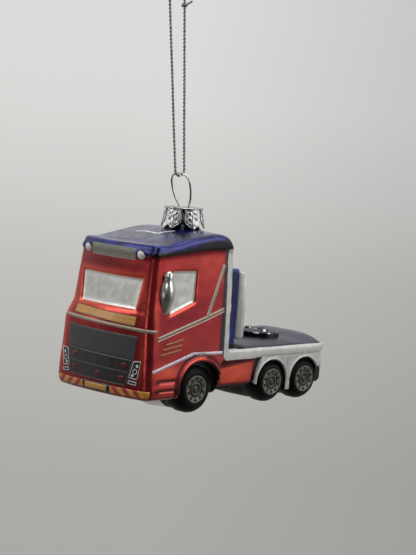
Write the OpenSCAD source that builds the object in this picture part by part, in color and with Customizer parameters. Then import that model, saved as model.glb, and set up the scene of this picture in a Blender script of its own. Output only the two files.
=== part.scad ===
// Mould-blown glass tree ornament in the form of a cab-over semi truck tractor,
// with its crown cap, spring wire loop and hanging thread.
// Lengths in mm. X points to the truck's front, Y to its left, Z up.
// Inside the modules x = 0 is the neck's axis and z = 0 the foot of the front tyres;
// every node is then moved so that the top of the thread's loop is the origin.

/* [Cab] */
// Length of the cab from its front to its back panel
cab_len = 40.3; // [38:0.1:44]
// Distance of the back panel behind the neck's axis
neck_inset = 4; // [3:0.1:6]
// Width over the sills
sill_w = 44.4; // [41:0.2:46]
// How far the waist lies inside the sills on each side
waist_in = 1.5; // [0.8:0.1:2]
// How far the eaves lie inside the sills on each side
eave_in = 3.2; // [2.6:0.1:4]
// Height of the cab's lower edge
sill_z = 7; // [5.5:0.1:8]
// Height of the waist line
waist_z = 31.5; // [30:0.1:33]
// Height of the ledge under the windscreen
ledge_z = 36; // [35:0.1:37.5]
// Height of the eaves
eave_z = 55; // [53:0.1:57]
// Height of the roof over the eaves
roof_h = 8.2; // [7.5:0.1:10]
// Radius of the bowed front in plan
bow_r = 90; // [80:1:140]
// Set-back of the front at the ledge
ledge_back = 1.3; // [0.9:0.1:1.8]
// Set-back of the front at the eaves
eave_back = 3.6; // [3:0.1:5]
// Radius of the cab's front corners in plan
corner_r = 2.2; // [2:0.1:6]
// Side overhang of the roof
roof_lip = 0.5; // [0.3:0.1:1]

/* [Wheels] */
// Diameter of the front tyres
front_tyre_d = 17.6; // [16:0.2:18.4]
// Diameter of the rear tyres
rear_tyre_d = 15.8; // [15:0.2:16.4]
// Front of the cab to the front axle
front_axle_back = 28.85; // [28:0.05:30]
// Front axle to the first rear axle
axle_gap = 39.55; // [38:0.05:41]
// First to second rear axle
bogie_gap = 18.1; // [17.9:0.05:18.8]
// How far the wheel faces lie inside the sills on each side
wheel_in = 2; // [0.9:0.1:2.4]
// Diameter of the hub prints
hub_d = 9.7; // [8:0.1:11]
// Radial gap between a front tyre and its arch
arch_gap = 1.4; // [1:0.1:1.8]
// Width of the raised arch lip
lip_w = 1.3; // [0.8:0.1:1.8]
// Height of the raised arch lip
lip_h = 0.4; // [0.2:0.1:0.6]

/* [Deck] */
// Length of the deck behind the cab's back panel
deck_len = 55.6; // [54:0.1:60]
// Height of the deck
deck_z = 22; // [21:0.1:23.5]
// How far the side rails lie inside the sills on each side
rail_in = 2; // [0.9:0.1:2.4]
// Height of the side rails
rail_h = 3.8; // [3.2:0.1:4.4]
// Thickness of the silver back panel
panel_t = 2.6; // [2.2:0.1:4]
// Depth of the blue block behind the panel
block_t = 5; // [4:0.1:7]
// How far the blue block lies inside the sills on each side
block_in = 4.4; // [3.2:0.1:5]
// Height of the blue block's top
block_z = 50.6; // [46:0.1:53]
// Diameter of the stacks
stack_d = 3.4; // [2.4:0.1:4]
// Diameter of the fifth wheel
fifth_d = 15; // [12:0.2:16]
// Distance of the fifth wheel behind the first rear axle
fifth_back = 13.4; // [8:0.1:15]

/* [Prints] */
// Width of the sign on the roof's front
sign_w = 22; // [18:0.1:23]
// Height of the sign
sign_h = 3.9; // [3.4:0.1:4.4]
// Diameter of the marker lamps
marker_d = 3.4; // [3:0.1:3.8]
// Width of the board under the windscreen
banner_w = 31.6; // [28:0.1:33]
// Width of the coach stripes
stripe_w = 1.1; // [0.8:0.1:1.4]
// Width of the louvre bars
louvre_w = 0.6; // [0.4:0.1:0.8]
// How far the front's prints wrap back round the corners
wrap = 7.4; // [6.5:0.1:7.6]
// Diameter of the mirrors
mirror_d = 5.4; // [4.6:0.1:6]

/* [Glass] */
// Thickness of the blown wall round the cab, near the neck
wall = 1.9; // [1.5:0.1:2.2]
// Thickness of the blown wall behind the cab
rear_wall = 0.7; // [0.6:0.1:1]
// Depth of the window pockets
pocket = 0.5; // [0.3:0.1:0.6]
// Thickness of printed and lacquered films
film_t = 0.15; // [0.1:0.05:0.3]
// Outer diameter of the neck
neck_d = 11.2; // [10.4:0.2:11.6]
// Bore of the neck
neck_bore = 8.8; // [8:0.2:9.2]

/* [Hanger] */
// Diameter of the cap's top
cap_top_d = 13.8; // [13.2:0.1:15]
// Diameter of the cap's flared edge
cap_rim_d = 16; // [15.4:0.1:18]
// Height of the cap
cap_h = 7.3; // [6.5:0.1:8.5]
// Sheet thickness of the cap
cap_t = 0.4; // [0.3:0.05:0.6]
// Number of petals round the cap
petals = 6; // [6:1:10]
// Diameter of the hanger wire
wire_d = 0.75; // [0.6:0.05:0.9]
// Width of the wire loop between its centrelines
loop_w = 9.2; // [8.8:0.1:11]
// Length of the wire loop from the cap to its top's centreline
loop_h = 12.4; // [11.5:0.1:13.5]
// Length of the straight top of the loop
loop_top = 2; // [1.4:0.1:3]
// Forward lean of the loop, degrees
loop_lean = 16; // [0:1:20]
// Spacing of the two wire holes in the cap
hole_gap = 4.4; // [4:0.1:5]
// Length of the wire's legs below the cap
leg_len = 9; // [6:0.5:12]
// Diameter of the thread
thread_d = 1; // [0.8:0.05:1.2]
// Diameter of the thread's knot
knot_d = 2.4; // [2:0.1:3]

/* [Hidden] */
$fn = 48;

// The hanging point, inside the top of the thread's loop
hang = [7.5, -3.5, 150];
// Widths, from the width over the sills
waist_w = sill_w - 2 * waist_in;
eave_w = sill_w - 2 * eave_in;
track_w = sill_w - 2 * wheel_in;
rail_w = sill_w - 2 * rail_in;
block_w = sill_w - 2 * block_in;
hull_w = rail_w - 7.4;
// Places along the truck
cab_rear = -neck_inset;
cab_front = cab_rear + cab_len;
deck_end = cab_rear - deck_len;
front_axle = cab_front - front_axle_back;
rear_axles = [front_axle - axle_gap, front_axle - axle_gap - bogie_gap];
axle_z = front_tyre_d / 2;
rail_z = deck_z - rail_h;
roof_z = eave_z + roof_h;
groove = 0.8;
panel_rear = cab_rear - groove - panel_t;
block_rear = panel_rear - block_t;
arch_r = front_tyre_d / 2 + arch_gap;
arch_depth = 2.2;
fender_gap = 0.5;
fender_t = 1.2;
// The neck and the cap over it
cap_clear = 0.3;
cap_top = roof_z + cap_clear + cap_h;
neck_top = cap_top - cap_t - cap_clear;
hole_d = wire_d + 0.5;
// A length that reaches past the whole ornament
far = 200;
// Places on the cab: shares of its length from the front, of its half width and of its waist's height
function along_cab(share) = cab_front - share * cab_len;
function across(share) = share * 0.482 * sill_w;
function up(share) = share * waist_z;

// Corner geometry of an outline given as [x, y, radius] points, anticlockwise
function flat(p) = [p.x, p.y];
function unit(v) = v / norm(v);
function along(pts, i, step) = unit(flat(pts[(i + len(pts) + step) % len(pts)]) - flat(pts[i]));
function half_angle(pts, i) = acos(along(pts, i, -1) * along(pts, i, 1)) / 2;
function centre(pts, i, d) = flat(pts[i])
    + unit(along(pts, i, -1) + along(pts, i, 1)) * d / sin(half_angle(pts, i));
function inset(pts, g) = [for (i = [0 : len(pts) - 1])
    concat(centre(pts, i, g), pts[i].z == 0 ? 0 : max(pts[i].z - g, 0.1))];
function corner_steps(r) = r > 2 ? 5 : 3;
function corner(pts, i) = let(r = pts[i].z, c = centre(pts, i, r), a = along(pts, i, -1),
    turn = 180 - 2 * half_angle(pts, i), first = atan2(-a.x, a.y) + 180, n = corner_steps(r))
    [for (k = [0 : n]) c + r * [cos(first + turn * k / n), sin(first + turn * k / n)]];

// A convex outline with round corners, moved inwards by g
module soft_poly(outline, g = 0) {
    pts = g == 0 ? outline : inset(outline, g);
    polygon([for (i = [0 : len(pts) - 1]) each pts[i].z == 0 ? [flat(pts[i])] : corner(pts, i)]);
}

// A rectangle with round corners, by its middle
module soft_rect(size, r) soft_poly([for (s = [[-1, -1], [1, -1], [1, 1], [-1, 1]])
    [s.x * size.x / 2, s.y * size.y / 2, r]]);

// A straight band of width w from p to q
module band(p, q, w) {
    n = [p.y - q.y, q.x - p.x] / norm(q - p) * w / 2;
    polygon([p + n, p - n, q - n, q + n]);
}

// Outlines drawn in the side (x, z) and front (y, z) views, made solid
module from_side(y0, y1) translate([0, y1, 0]) rotate([90, 0, 0]) linear_extrude(y1 - y0) children();
module from_front(x0, x1) translate([x0, 0, 0]) rotate([90, 0, 90]) linear_extrude(x1 - x0) children();
module both_sides() for (s = [0, 1]) mirror([0, s, 0]) children();
module bowed() translate([cab_front - bow_r, 0, 0]) rotate(-45)
    rotate_extrude(angle = 90, $fn = 160) children();
module hung() translate(-hang) children();

// Outlines of the cab: radius against height for the bowed front, then the front view
bow_in = bow_r - cab_len - 14;
cab_top = eave_z + 4;
low_front = [[bow_in, sill_z, 0], [bow_r - 0.9, sill_z, 0], [bow_r, sill_z + 1.4, 1],
    [bow_r, waist_z, 1.5], [bow_r - ledge_back, ledge_z, 0.6], [bow_in, ledge_z, 0]];
high_front = [[bow_in, waist_z - 2, 0], [bow_r - ledge_back + 0.4, waist_z - 2, 0],
    [bow_r - eave_back - 0.5, cab_top, 0], [bow_in, cab_top, 0]];
cab_section = [[1.2 - sill_w / 2, sill_z, 1], [sill_w / 2 - 1.2, sill_z, 1],
    [sill_w / 2, sill_z + 3, 2], [waist_w / 2, waist_z, 8], [eave_w / 2 - 0.3, cab_top, 0],
    [0.3 - eave_w / 2, cab_top, 0], [-waist_w / 2, waist_z, 8], [-sill_w / 2, sill_z + 3, 2]];
corner_back = 1.2;

// Plan outline with round front corners
module plan_cut(w, back, front, g) linear_extrude(far, center = true) soft_poly([
    [back, -w / 2, 0], [front, -w / 2, corner_r], [front, w / 2, corner_r], [back, w / 2, 0]], g);

// The cab below and above its waist, with the walls moved inwards by g
module cab_form(g = 0) intersection() {
    union() {
        intersection() {
            bowed() soft_poly(low_front, g);
            plan_cut(sill_w, cab_rear, cab_front - corner_back, g);
        }
        intersection() {
            bowed() soft_poly(high_front, g);
            plan_cut((waist_w + eave_w) / 2, cab_rear, cab_front - corner_back - eave_back / 2, g);
        }
    }
    from_front(cab_rear - 1, cab_front + 1) soft_poly(cab_section, g);
}

// Outlines of the roof, seen as for the cab, with its rounded back in the side view
roof_w = eave_w + 2 * roof_lip;
roof_front = [[bow_in, eave_z, 0], [bow_r - eave_back + 0.3, eave_z, 0.8],
    [bow_r - eave_back, eave_z + roof_h * 0.29, 1.2], [bow_r - cab_len * 0.3, eave_z + roof_h * 0.53, 12],
    [bow_r - cab_len * 0.55, eave_z + roof_h * 0.77, 12], [bow_r - cab_len * 0.86, roof_z, 12],
    [bow_in, roof_z, 0]];
roof_back = [[panel_rear - roof_lip, eave_z, 0.8], [cab_front + 5, eave_z, 0],
    [cab_front + 5, roof_z + 1, 0], [panel_rear - roof_lip, roof_z + 1, 4]];
roof_section = [[-roof_w / 2, eave_z, 0.8], [roof_w / 2, eave_z, 0.8],
    [roof_w / 2 - 0.6, roof_z - 0.9, 2.2], [0, roof_z + 0.3, 60], [0.6 - roof_w / 2, roof_z - 0.9, 2.2]];

module roof_form(g = 0) intersection() {
    bowed() soft_poly(roof_front, g);
    from_side(-far / 2, far / 2) soft_poly(roof_back, g);
    from_front(panel_rear - 5, cab_front + 5) soft_poly(roof_section, g);
    plan_cut(roof_w, panel_rear - 5, cab_front - corner_back - eave_back, g);
}

// The silver panel behind the cab, joined to it past a narrow groove
module panel_form(g = 0) intersection() {
    union() {
        if (g == 0) from_front(panel_rear, cab_rear - groove) soft_poly(cab_section, 0.4);
        from_front(panel_rear + g, cab_rear + 4) soft_poly(cab_section, 0.9 + g);
    }
    translate([-far / 2, -far / 2, rail_z + g]) cube([far, far, eave_z - rail_z + 1]);
}

// The blue block behind the panel
module block_form(g = 0) translate([0, 0, rail_z + g]) linear_extrude(block_z - rail_z - 2 * g) soft_poly([
    [block_rear, -block_w / 2, 1.6], [cab_rear + 4, -block_w / 2, 0],
    [cab_rear + 4, block_w / 2, 0], [block_rear, block_w / 2, 1.6]], g);

// The deck with its side rails, over the narrower hull
module deck_form(g = 0) {
    translate([0, 0, rail_z + g]) linear_extrude(rail_h - 2 * g) soft_poly([
        [deck_end, -rail_w / 2, 4], [cab_rear + 4, -rail_w / 2, 0],
        [cab_rear + 4, rail_w / 2, 0], [deck_end, rail_w / 2, 4]], g);
    translate([deck_end + 2 + g, g - hull_w / 2, sill_z + 0.5 + g])
        cube([cab_rear + 4 - deck_end - 2 - g, hull_w - 2 * g, rail_z - sill_z]);
}

// The skirts between the wheels, with a raked back edge
module skirt_form(g = 0) intersection() {
    from_side(-rail_w / 2 + 0.3 + g, rail_w / 2 - 0.3 - g) soft_poly([[cab_rear - groove, sill_z + 2, 1],
        [cab_rear - groove, rail_z + 1, 0], [rear_axles[0] + 9.8, rail_z + 1, 0],
        [rear_axles[0] + 12, sill_z + 2, 1]], g);
    translate([-far / 2, -far / 2, 0]) cube([far, far, rail_z + 0.5]);
}

// A pair of wheels as one roll right across the truck
module roll(x, d, g = 0) translate([x, 0, axle_z]) rotate([90, 0, 0]) rotate_extrude()
    soft_poly([[0, g - track_w / 2, 0], [d / 2 - g, g - track_w / 2, 1.1],
        [d / 2 - g, track_w / 2 - g, 1.1], [0, track_w / 2 - g, 0]]);
module rear_rolls(g = 0) for (x = rear_axles) roll(x, rear_tyre_d, g);

// The front arches, cut in from both sides, and their raised lips
module arches(r, depth) both_sides() translate([front_axle, sill_w / 2 + 2, axle_z])
    rotate([90, 0, 0]) cylinder(h = wheel_in + depth + 2, r = r, $fn = 64);
module arch_lips() intersection() {
    cab_form(-lip_h);
    both_sides() from_side(sill_w / 2 - 3, sill_w / 2 + 2) intersection() {
        translate([front_axle, axle_z]) difference() {
            circle(arch_r + lip_w, $fn = 64);
            circle(arch_r, $fn = 64);
        }
        translate([-far / 2, axle_z - 1]) square(far);
    }
}

// The fenders over the rear wheels, with the strut between them
module fenders() both_sides() from_side(hull_w / 2 - 1.5, rail_w / 2 - 0.2) difference() {
    intersection() {
        union() {
            for (x = rear_axles) translate([x, axle_z])
                circle(rear_tyre_d / 2 + fender_gap + fender_t, $fn = 64);
            translate([(rear_axles[0] + rear_axles[1]) / 2 - 0.9, axle_z - 3.7]) square([1.8, 13]);
        }
        translate([deck_end, axle_z - 3.7]) square([far, rail_z - axle_z + 4.2]);
    }
    for (x = rear_axles) translate([x, axle_z]) circle(rear_tyre_d / 2 + fender_gap, $fn = 64);
    translate([rear_axles[0] + 5, 0]) square([20, axle_z - 0.3]);
    translate([deck_end - 5, 0]) square([10, axle_z + 3]);
}

// The stacks behind the block and the mirrors on the front pillars
stack_foot = deck_z + 1.35 * stack_d;
stack_top = block_z - 0.35 * stack_d;
mirror_ends = [0.71 * eave_z, 0.864 * eave_z];
module stacks() both_sides() translate([block_rear - 0.4 * stack_d, (block_w - 1) / 2, stack_foot]) {
    cylinder(h = stack_top - stack_foot, d = stack_d, $fn = 20);
    sphere(d = stack_d, $fn = 20);
}
module mirrors() both_sides() translate([along_cab(0.298), (waist_w + eave_w) / 4 - 0.1, 0]) {
    translate([0, 0, mirror_ends[0]]) cylinder(h = mirror_ends[1] - mirror_ends[0], d = mirror_d, $fn = 28);
    for (z = mirror_ends) translate([0, 0, z]) sphere(d = mirror_d, $fn = 28);
}

// Outlines of the windows
pane_foot = 1.014 * ledge_z;
pane_top = 0.86 * eave_z;
side_pane_top = 0.915 * eave_z;
module windscreen_outline() soft_poly([[-across(0.654), pane_foot, 1], [across(0.654), pane_foot, 1],
    [across(0.7), pane_top, 1], [-across(0.7), pane_top, 1]]);
module side_window_outline() soft_poly([[along_cab(0.33), 0.994 * ledge_z, 1],
    [along_cab(0.367), side_pane_top, 1], [along_cab(0.64), side_pane_top, 1],
    [along_cab(0.61), 1.1 * ledge_z, 1]]);
module window_pockets() difference() {
    union() {
        from_front(0, far) windscreen_outline();
        both_sides() from_side(5, far) side_window_outline();
    }
    cab_form(pocket);
}

// The hollow glass body with its open neck
module glass_body() color("firebrick") hung() difference() {
    union() {
        difference() {
            cab_form();
            arches(arch_r, arch_depth);
            window_pockets();
        }
        arch_lips();
        roof_form();
        panel_form();
        block_form();
        deck_form();
        skirt_form();
        roll(front_axle, front_tyre_d);
        rear_rolls();
        fenders();
        stacks();
        mirrors();
        translate([0, 0, roof_z - 2]) cylinder(h = neck_top - roof_z + 2, d = neck_d);
    }
    difference() {
        union() {
            cab_form(wall);
            roof_form(wall);
            panel_form(rear_wall);
            block_form(rear_wall);
            deck_form(rear_wall);
            skirt_form(rear_wall);
        }
        arches(arch_r + wall, arch_depth + wall);
    }
    roll(front_axle, front_tyre_d, wall);
    rear_rolls(rear_wall);
    translate([0, 0, roof_z - 4]) cylinder(h = far, d = neck_bore);
}

// The crown cap: a flared cup with petals cut round its edge and two wire holes
module cap() color("silver") hung() difference() {
    rotate_extrude() polygon([[0, cap_top - cap_t], [cap_top_d / 2 - cap_t, cap_top - cap_t],
        [cap_rim_d / 2 - cap_t, cap_top - cap_h], [cap_rim_d / 2, cap_top - cap_h],
        [cap_top_d / 2, cap_top], [0, cap_top]]);
    for (i = [0 : petals - 1]) rotate(i * 360 / petals + 45)
        translate([0, 0, cap_top - cap_h]) from_front(0, cap_rim_d)
            polygon([[-2.4, -1], [2.4, -1], [2.2, 0.3], [1.1, 1.3], [0.5, 2.6], [0.6, cap_h - 1.2],
                [-0.6, cap_h - 1.2], [-0.5, 2.6], [-1.1, 1.3], [-2.2, 0.3]]);
    for (s = [-1, 1]) translate([0, s * hole_gap / 2, cap_top - 2]) cylinder(h = 4, d = hole_d);
}

// A tube of diameter d swept along points, each ring square to the path
function ring_dir(pts, i, closed) = let(n = len(pts))
    closed ? unit(pts[(i + 1) % n] - pts[(i + n - 1) % n])
        : unit(pts[min(i + 1, n - 1)] - pts[max(i - 1, 0)]);
function ring(at, dir, d, sides, beside) = let(u = unit(cross(beside, dir)), v = cross(dir, u))
    [for (k = [0 : sides - 1]) at + d / 2 * (cos(k * 360 / sides) * u + sin(k * 360 / sides) * v)];
module tube(pts, d, sides, beside, closed = false) {
    n = len(pts);
    points = [for (i = [0 : n - 1]) each ring(pts[i], ring_dir(pts, i, closed), d, sides, beside)];
    walls = [for (i = [0 : closed ? n - 1 : n - 2], k = [0 : sides - 1])
        let(a = i * sides, b = ((i + 1) % n) * sides, l = (k + 1) % sides)
        each [[b + l, a + l, a + k], [b + k, b + l, a + k]]];
    ends = closed ? [] : [[for (k = [0 : sides - 1]) k],
        [for (k = [sides - 1 : -1 : 0]) (n - 1) * sides + k]];
    polyhedron(points, concat(walls, ends));
}

// One half of the wire loop: from the straight top round the shoulder, in to its hole and down
shoulder_r = (loop_w - loop_top) / 2;
half_loop = concat(
    [for (t = [90 : -15 : 0]) [loop_top / 2, loop_h - shoulder_r] + shoulder_r * [cos(t), sin(t)]],
    [[loop_w * 0.49, loop_h * 0.5], [loop_w * 0.41, loop_h * 0.25], [hole_gap * 0.59, loop_h * 0.07]]);
function lean(p) = [p.y * sin(loop_lean), p.x, cap_top + p.y * cos(loop_lean)];
leg_reach = (neck_bore - wire_d) / 2 - 0.05;
half_wire = concat([for (p = half_loop) lean(p)], [for (leg = [[hole_gap / 2, 0],
    [hole_gap / 2 + 0.1, -1.5], [leg_reach, 1 - leg_len], [leg_reach, -leg_len]])
    [0, leg[0], cap_top - cap_t + leg[1]]]);

// The spring wire: a leaning loop with a straight top, its legs spread inside the neck
module hanger_wire() color("gainsboro") hung() {
    both_sides() tube(half_wire, wire_d, 10, [1, 0, 0]);
    translate(lean([0, loop_h])) rotate([90, 0, 0]) cylinder(h = loop_top, d = wire_d, center = true);
}

// The thread's route, round under the wire's straight top and up to the hanging point
route = [[3.4, 0, 81.7], [4.5, 0, 82], [5.3, 0, 82.8], [5.6, 0, 83.9], [6, -0.2, 88], [7.1, -0.9, 100],
    [8.4, -1.7, 115], [9.8, -2.5, 130], [10.9, -3.1, 142], [11.2, -3.3, 146.8], [10.7, -3.4, 148.7],
    [9.4, -3.5, 150], [7.5, -3.5, 150.5], [5.6, -3.5, 150], [4.3, -3.4, 148.7], [3.8, -3.3, 146.8],
    [3.7, -3.1, 142], [3.2, -2.5, 130], [2.5, -1.7, 115], [1.9, -0.9, 100], [1.4, -0.2, 88],
    [1.2, 0, 83.9], [1.5, 0, 82.8], [2.3, 0, 82]];
knot_at = [3.7, -3.1, 141];
tail_to = [1.8, -1.2, 142.6];

module thread() color("lightgray") hung() tube(route, thread_d, 8, [0, 1, 0], true);

// The knot that closes the loop, with one cut tail
module thread_knot() color("gray") hung() {
    translate(knot_at) sphere(d = knot_d, $fn = 40);
    tube([knot_at, (knot_at + tail_to) / 2 + [0, 0, -0.2], tail_to], thread_d * 0.9, 8, [0, 1, 0.5]);
}

// A thin film on the cab and roof, of the outline given as a solid
module film(t) intersection() {
    children();
    difference() {
        union() {
            cab_form(-t);
            roof_form(-t);
        }
        cab_form();
        roof_form();
    }
}
module cab_film(t) intersection() {
    children();
    difference() {
        cab_form(-t);
        cab_form();
    }
}
module front_print() from_front(cab_front - wrap, far) children();
module side_print() both_sides() from_side(waist_w / 4, far) children();
module both_halves() for (s = [0, 1]) mirror([s, 0]) children();

// The blank sign board between the two marker lamps on the roof's front
sign_z = 1.007 * eave_z;
module roof_sign() color("dimgray") hung() film(0.4) front_print()
    translate([0, sign_z]) soft_rect([sign_w, sign_h], 0.4);
module marker_lamps() color("white") hung() film(0.6) front_print() both_halves()
    translate([sign_w / 2 + 0.7 * marker_d, sign_z]) circle(d = marker_d);

// The blank board under the windscreen and the stripe along the waist
ledge_h = ledge_z - waist_z;
module banner_board() color("goldenrod") hung() cab_film(2 * film_t) front_print()
    soft_poly([[-banner_w / 2, waist_z + 0.15 * ledge_h, 0.3], [banner_w / 2, waist_z + 0.15 * ledge_h, 0.3],
        [banner_w * 0.487, ledge_z - 0.2 * ledge_h, 0.3], [-banner_w * 0.487, ledge_z - 0.2 * ledge_h, 0.3]]);
module waist_stripe() color("tan") hung() cab_film(film_t) front_print()
    translate([0, waist_z - 0.45 * stripe_w]) square([sill_w, stripe_w], center = true);

// The grille and the barred intake below it
grille_top = up(0.902);
grille_foot = up(0.635);
intake_top = up(0.625);
intake_foot = up(0.362);
module grille_mesh() color("dimgray") hung() cab_film(film_t) front_print()
    soft_poly([[-across(0.766), grille_foot, 0.6], [across(0.766), grille_foot, 0.6],
        [across(0.818), grille_top, 1], [-across(0.818), grille_top, 1]]);
module lower_grille() color("black") hung() cab_film(film_t) front_print() difference() {
    soft_poly([[-across(0.673), intake_foot, 0.8], [across(0.673), intake_foot, 0.8],
        [across(0.757), intake_top, 0.4], [-across(0.757), intake_top, 0.4]]);
    both_halves() for (place = [[0.56, 0.54], [0.53, 0.42]])
        translate([across(place.x), up(place.y)]) square([across(0.1), up(0.055)], center = true);
}

// The lamp prints on both lower corners, each a lamp with an indicator under it
module headlamps() color("black") hung() cab_film(film_t) front_print() both_halves() {
    soft_poly([[across(0.724), up(0.441), 0.3], [across(0.907), up(0.432), 0.3],
        [across(0.953), up(0.632), 0.3], [across(0.795), up(0.622), 0.3]]);
    soft_poly([[across(0.7), up(0.368), 0.3], [across(0.897), up(0.359), 0.3],
        [across(0.902), up(0.416), 0.3], [across(0.718), up(0.425), 0.3]]);
}

// Slanted bars along the bumper, on both sides of the blank plate
hazard_foot = 1.04 * sill_z;
hazard_h = up(0.098);
hazard_bar = across(0.094);
module hazard_stripes() color("gold") hung() cab_film(film_t) front_print() both_halves()
    for (i = [0 : 3]) translate([across(0.336 + 0.164 * i), hazard_foot])
        polygon([[hazard_bar / 2, 0], [hazard_bar * 1.5, 0],
            [hazard_bar / 2, hazard_h], [-hazard_bar / 2, hazard_h]]);
module number_plate() color("goldenrod") hung() cab_film(2 * film_t) front_print()
    translate([0, hazard_foot + hazard_h / 2]) soft_rect([across(0.505), 0.68 * hazard_h], 0.3);

// The coach lines along both sides: a pair of pinstripes with a rising branch, and a low stripe
fork = [along_cab(0.789), up(1.092)];
low_bend = [along_cab(0.618), up(0.683)];
module side_stripes() color("tan") hung() cab_film(film_t) side_print() {
    for (line = [[0, stripe_w], [-1.2 * stripe_w, 0.36 * stripe_w]]) {
        drop = [0, line[0]];
        band([along_cab(0.196), up(0.883)] + drop, fork + drop, line[1]);
        band(fork + drop, [along_cab(0.985), up(1.172)] + drop, line[1]);
    }
    band(fork, [along_cab(0.98), 0.945 * eave_z], 0.8 * stripe_w);
    band([along_cab(0.144), up(0.514)], low_bend, stripe_w);
    band(low_bend, [along_cab(0.985), up(0.673)], stripe_w);
}
module louvre_bars() color("darkgoldenrod") hung() cab_film(2 * film_t) side_print() for (i = [0 : 2])
    band([along_cab(0.298 - 0.027 * i), up(0.8 - 0.056 * i)],
        [along_cab(0.514 - 0.017 * i), up(0.844 - 0.057 * i)], louvre_w);

// The printed wheel faces, each with ten holes round a ringed cap
hub_holes = 10;
module hub_face() difference() {
    circle(d = hub_d);
    for (i = [0 : hub_holes - 1]) rotate(i * 360 / hub_holes)
        translate([hub_d * 0.39, 0]) circle(hub_d * 0.046, $fn = 16);
    difference() {
        circle(d = hub_d * 0.5);
        circle(d = hub_d * 0.4);
    }
}
module hub_prints() color("tan") hung() both_sides() for (x = concat([front_axle], rear_axles))
    from_side(track_w / 2, track_w / 2 + film_t) translate([x, axle_z]) hub_face();

// The fifth wheel on the deck, with its throat open to the back
module fifth_wheel() color("black") hung() translate([rear_axles[0] - fifth_back, 0, deck_z])
    linear_extrude(1.6) difference() {
        circle(d = fifth_d);
        circle(d = fifth_d * 0.22);
        polygon(fifth_d * [[0, -0.11], [0, 0.11], [-1, 0.4], [-1, -0.4]]);
    }

glass_body();
cap();
hanger_wire();
thread();
thread_knot();
roof_sign();
marker_lamps();
banner_board();
waist_stripe();
grille_mesh();
lower_grille();
headlamps();
hazard_stripes();
number_plate();
side_stripes();
louvre_bars();
hub_prints();
fifth_wheel();
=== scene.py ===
import math

import bmesh
import bpy
from mathutils import Matrix, Vector, noise
from mathutils.bvhtree import BVHTree


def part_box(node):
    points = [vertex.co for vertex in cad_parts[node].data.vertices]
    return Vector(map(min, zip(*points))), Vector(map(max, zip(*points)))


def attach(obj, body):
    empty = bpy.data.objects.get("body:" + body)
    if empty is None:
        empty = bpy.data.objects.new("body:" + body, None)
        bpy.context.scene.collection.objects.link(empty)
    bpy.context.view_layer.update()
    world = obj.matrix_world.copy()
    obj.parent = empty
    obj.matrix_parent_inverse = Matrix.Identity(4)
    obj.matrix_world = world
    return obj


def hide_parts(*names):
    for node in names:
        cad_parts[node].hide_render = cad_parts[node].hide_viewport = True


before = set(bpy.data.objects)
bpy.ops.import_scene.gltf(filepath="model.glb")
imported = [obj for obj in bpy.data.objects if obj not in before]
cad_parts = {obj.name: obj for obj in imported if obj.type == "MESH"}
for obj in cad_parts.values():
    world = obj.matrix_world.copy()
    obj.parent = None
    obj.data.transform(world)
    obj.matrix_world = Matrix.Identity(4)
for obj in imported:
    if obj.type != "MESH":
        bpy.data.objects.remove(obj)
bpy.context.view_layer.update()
print("frame loaded:", len(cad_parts), "nodes")

# pieces are modelled in millimetres round the truck: x = 0 on the neck's axis, z = 0 at the front tyres' foot
capLow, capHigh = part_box("cap")
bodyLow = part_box("glass_body")[0]
middle = Matrix.Translation(((capLow.x + capHigh.x) / 2, (capLow.y + capHigh.y) / 2, bodyLow.z))
toRow = middle @ Matrix.Scale(0.001, 4)
capTop = (toRow.inverted() @ capHigh).z
deckEnd = -61.2

# colours and nodes


def hexColor(code):  # sRGB hex to linear
    parts = [int(code[i:i + 2], 16) / 255 for i in (1, 3, 5)]
    return [p / 12.92 if p <= 0.04045 else ((p + 0.055) / 1.055) ** 2.4 for p in parts] + [1]


def addNode(tree, kind, settings=None, links=None):
    node = tree.nodes.new("ShaderNode" + kind)
    for key, value in (settings or {}).items():
        if key == "stops":  # a colour ramp's places and hex colours
            elements = node.color_ramp.elements
            for element, (position, code) in zip(elements, (value[0], value[-1])):
                element.position, element.color = position, hexColor(code)
            for position, code in value[1:-1]:
                elements.new(position).color = hexColor(code)
        elif isinstance(key, int) or key in node.inputs:
            node.inputs[key].default_value = value
        else:
            setattr(node, key, value)
    for socket, source in (links or {}).items():
        tree.links.new(source, node.inputs[socket])
    return node


def newMaterial(name):
    material = bpy.data.materials.new(name)
    material.use_nodes = True
    tree = material.node_tree
    tree.nodes.clear()
    return material, tree


def addSurface(tree, colour, grain, spread, rough, dent, dentMm, settings):  # the grain sets roughness and dents
    worn = addNode(tree, "MapRange", {"From Min": 0.5 - spread, "From Max": 0.5 + spread, "To Min": rough[0],
                                      "To Max": rough[1]}, {"Value": grain})
    bump = addNode(tree, "Bump", {"Strength": dent, "Distance": dentMm / 1000}, {"Height": grain})
    shader = addNode(tree, "BsdfPrincipled", settings, {"Base Color": colour, "Roughness": worn.outputs["Result"],
                                                        "Normal": bump.outputs["Normal"]})
    addNode(tree, "OutputMaterial", links={"Surface": shader.outputs["BSDF"]})


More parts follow.
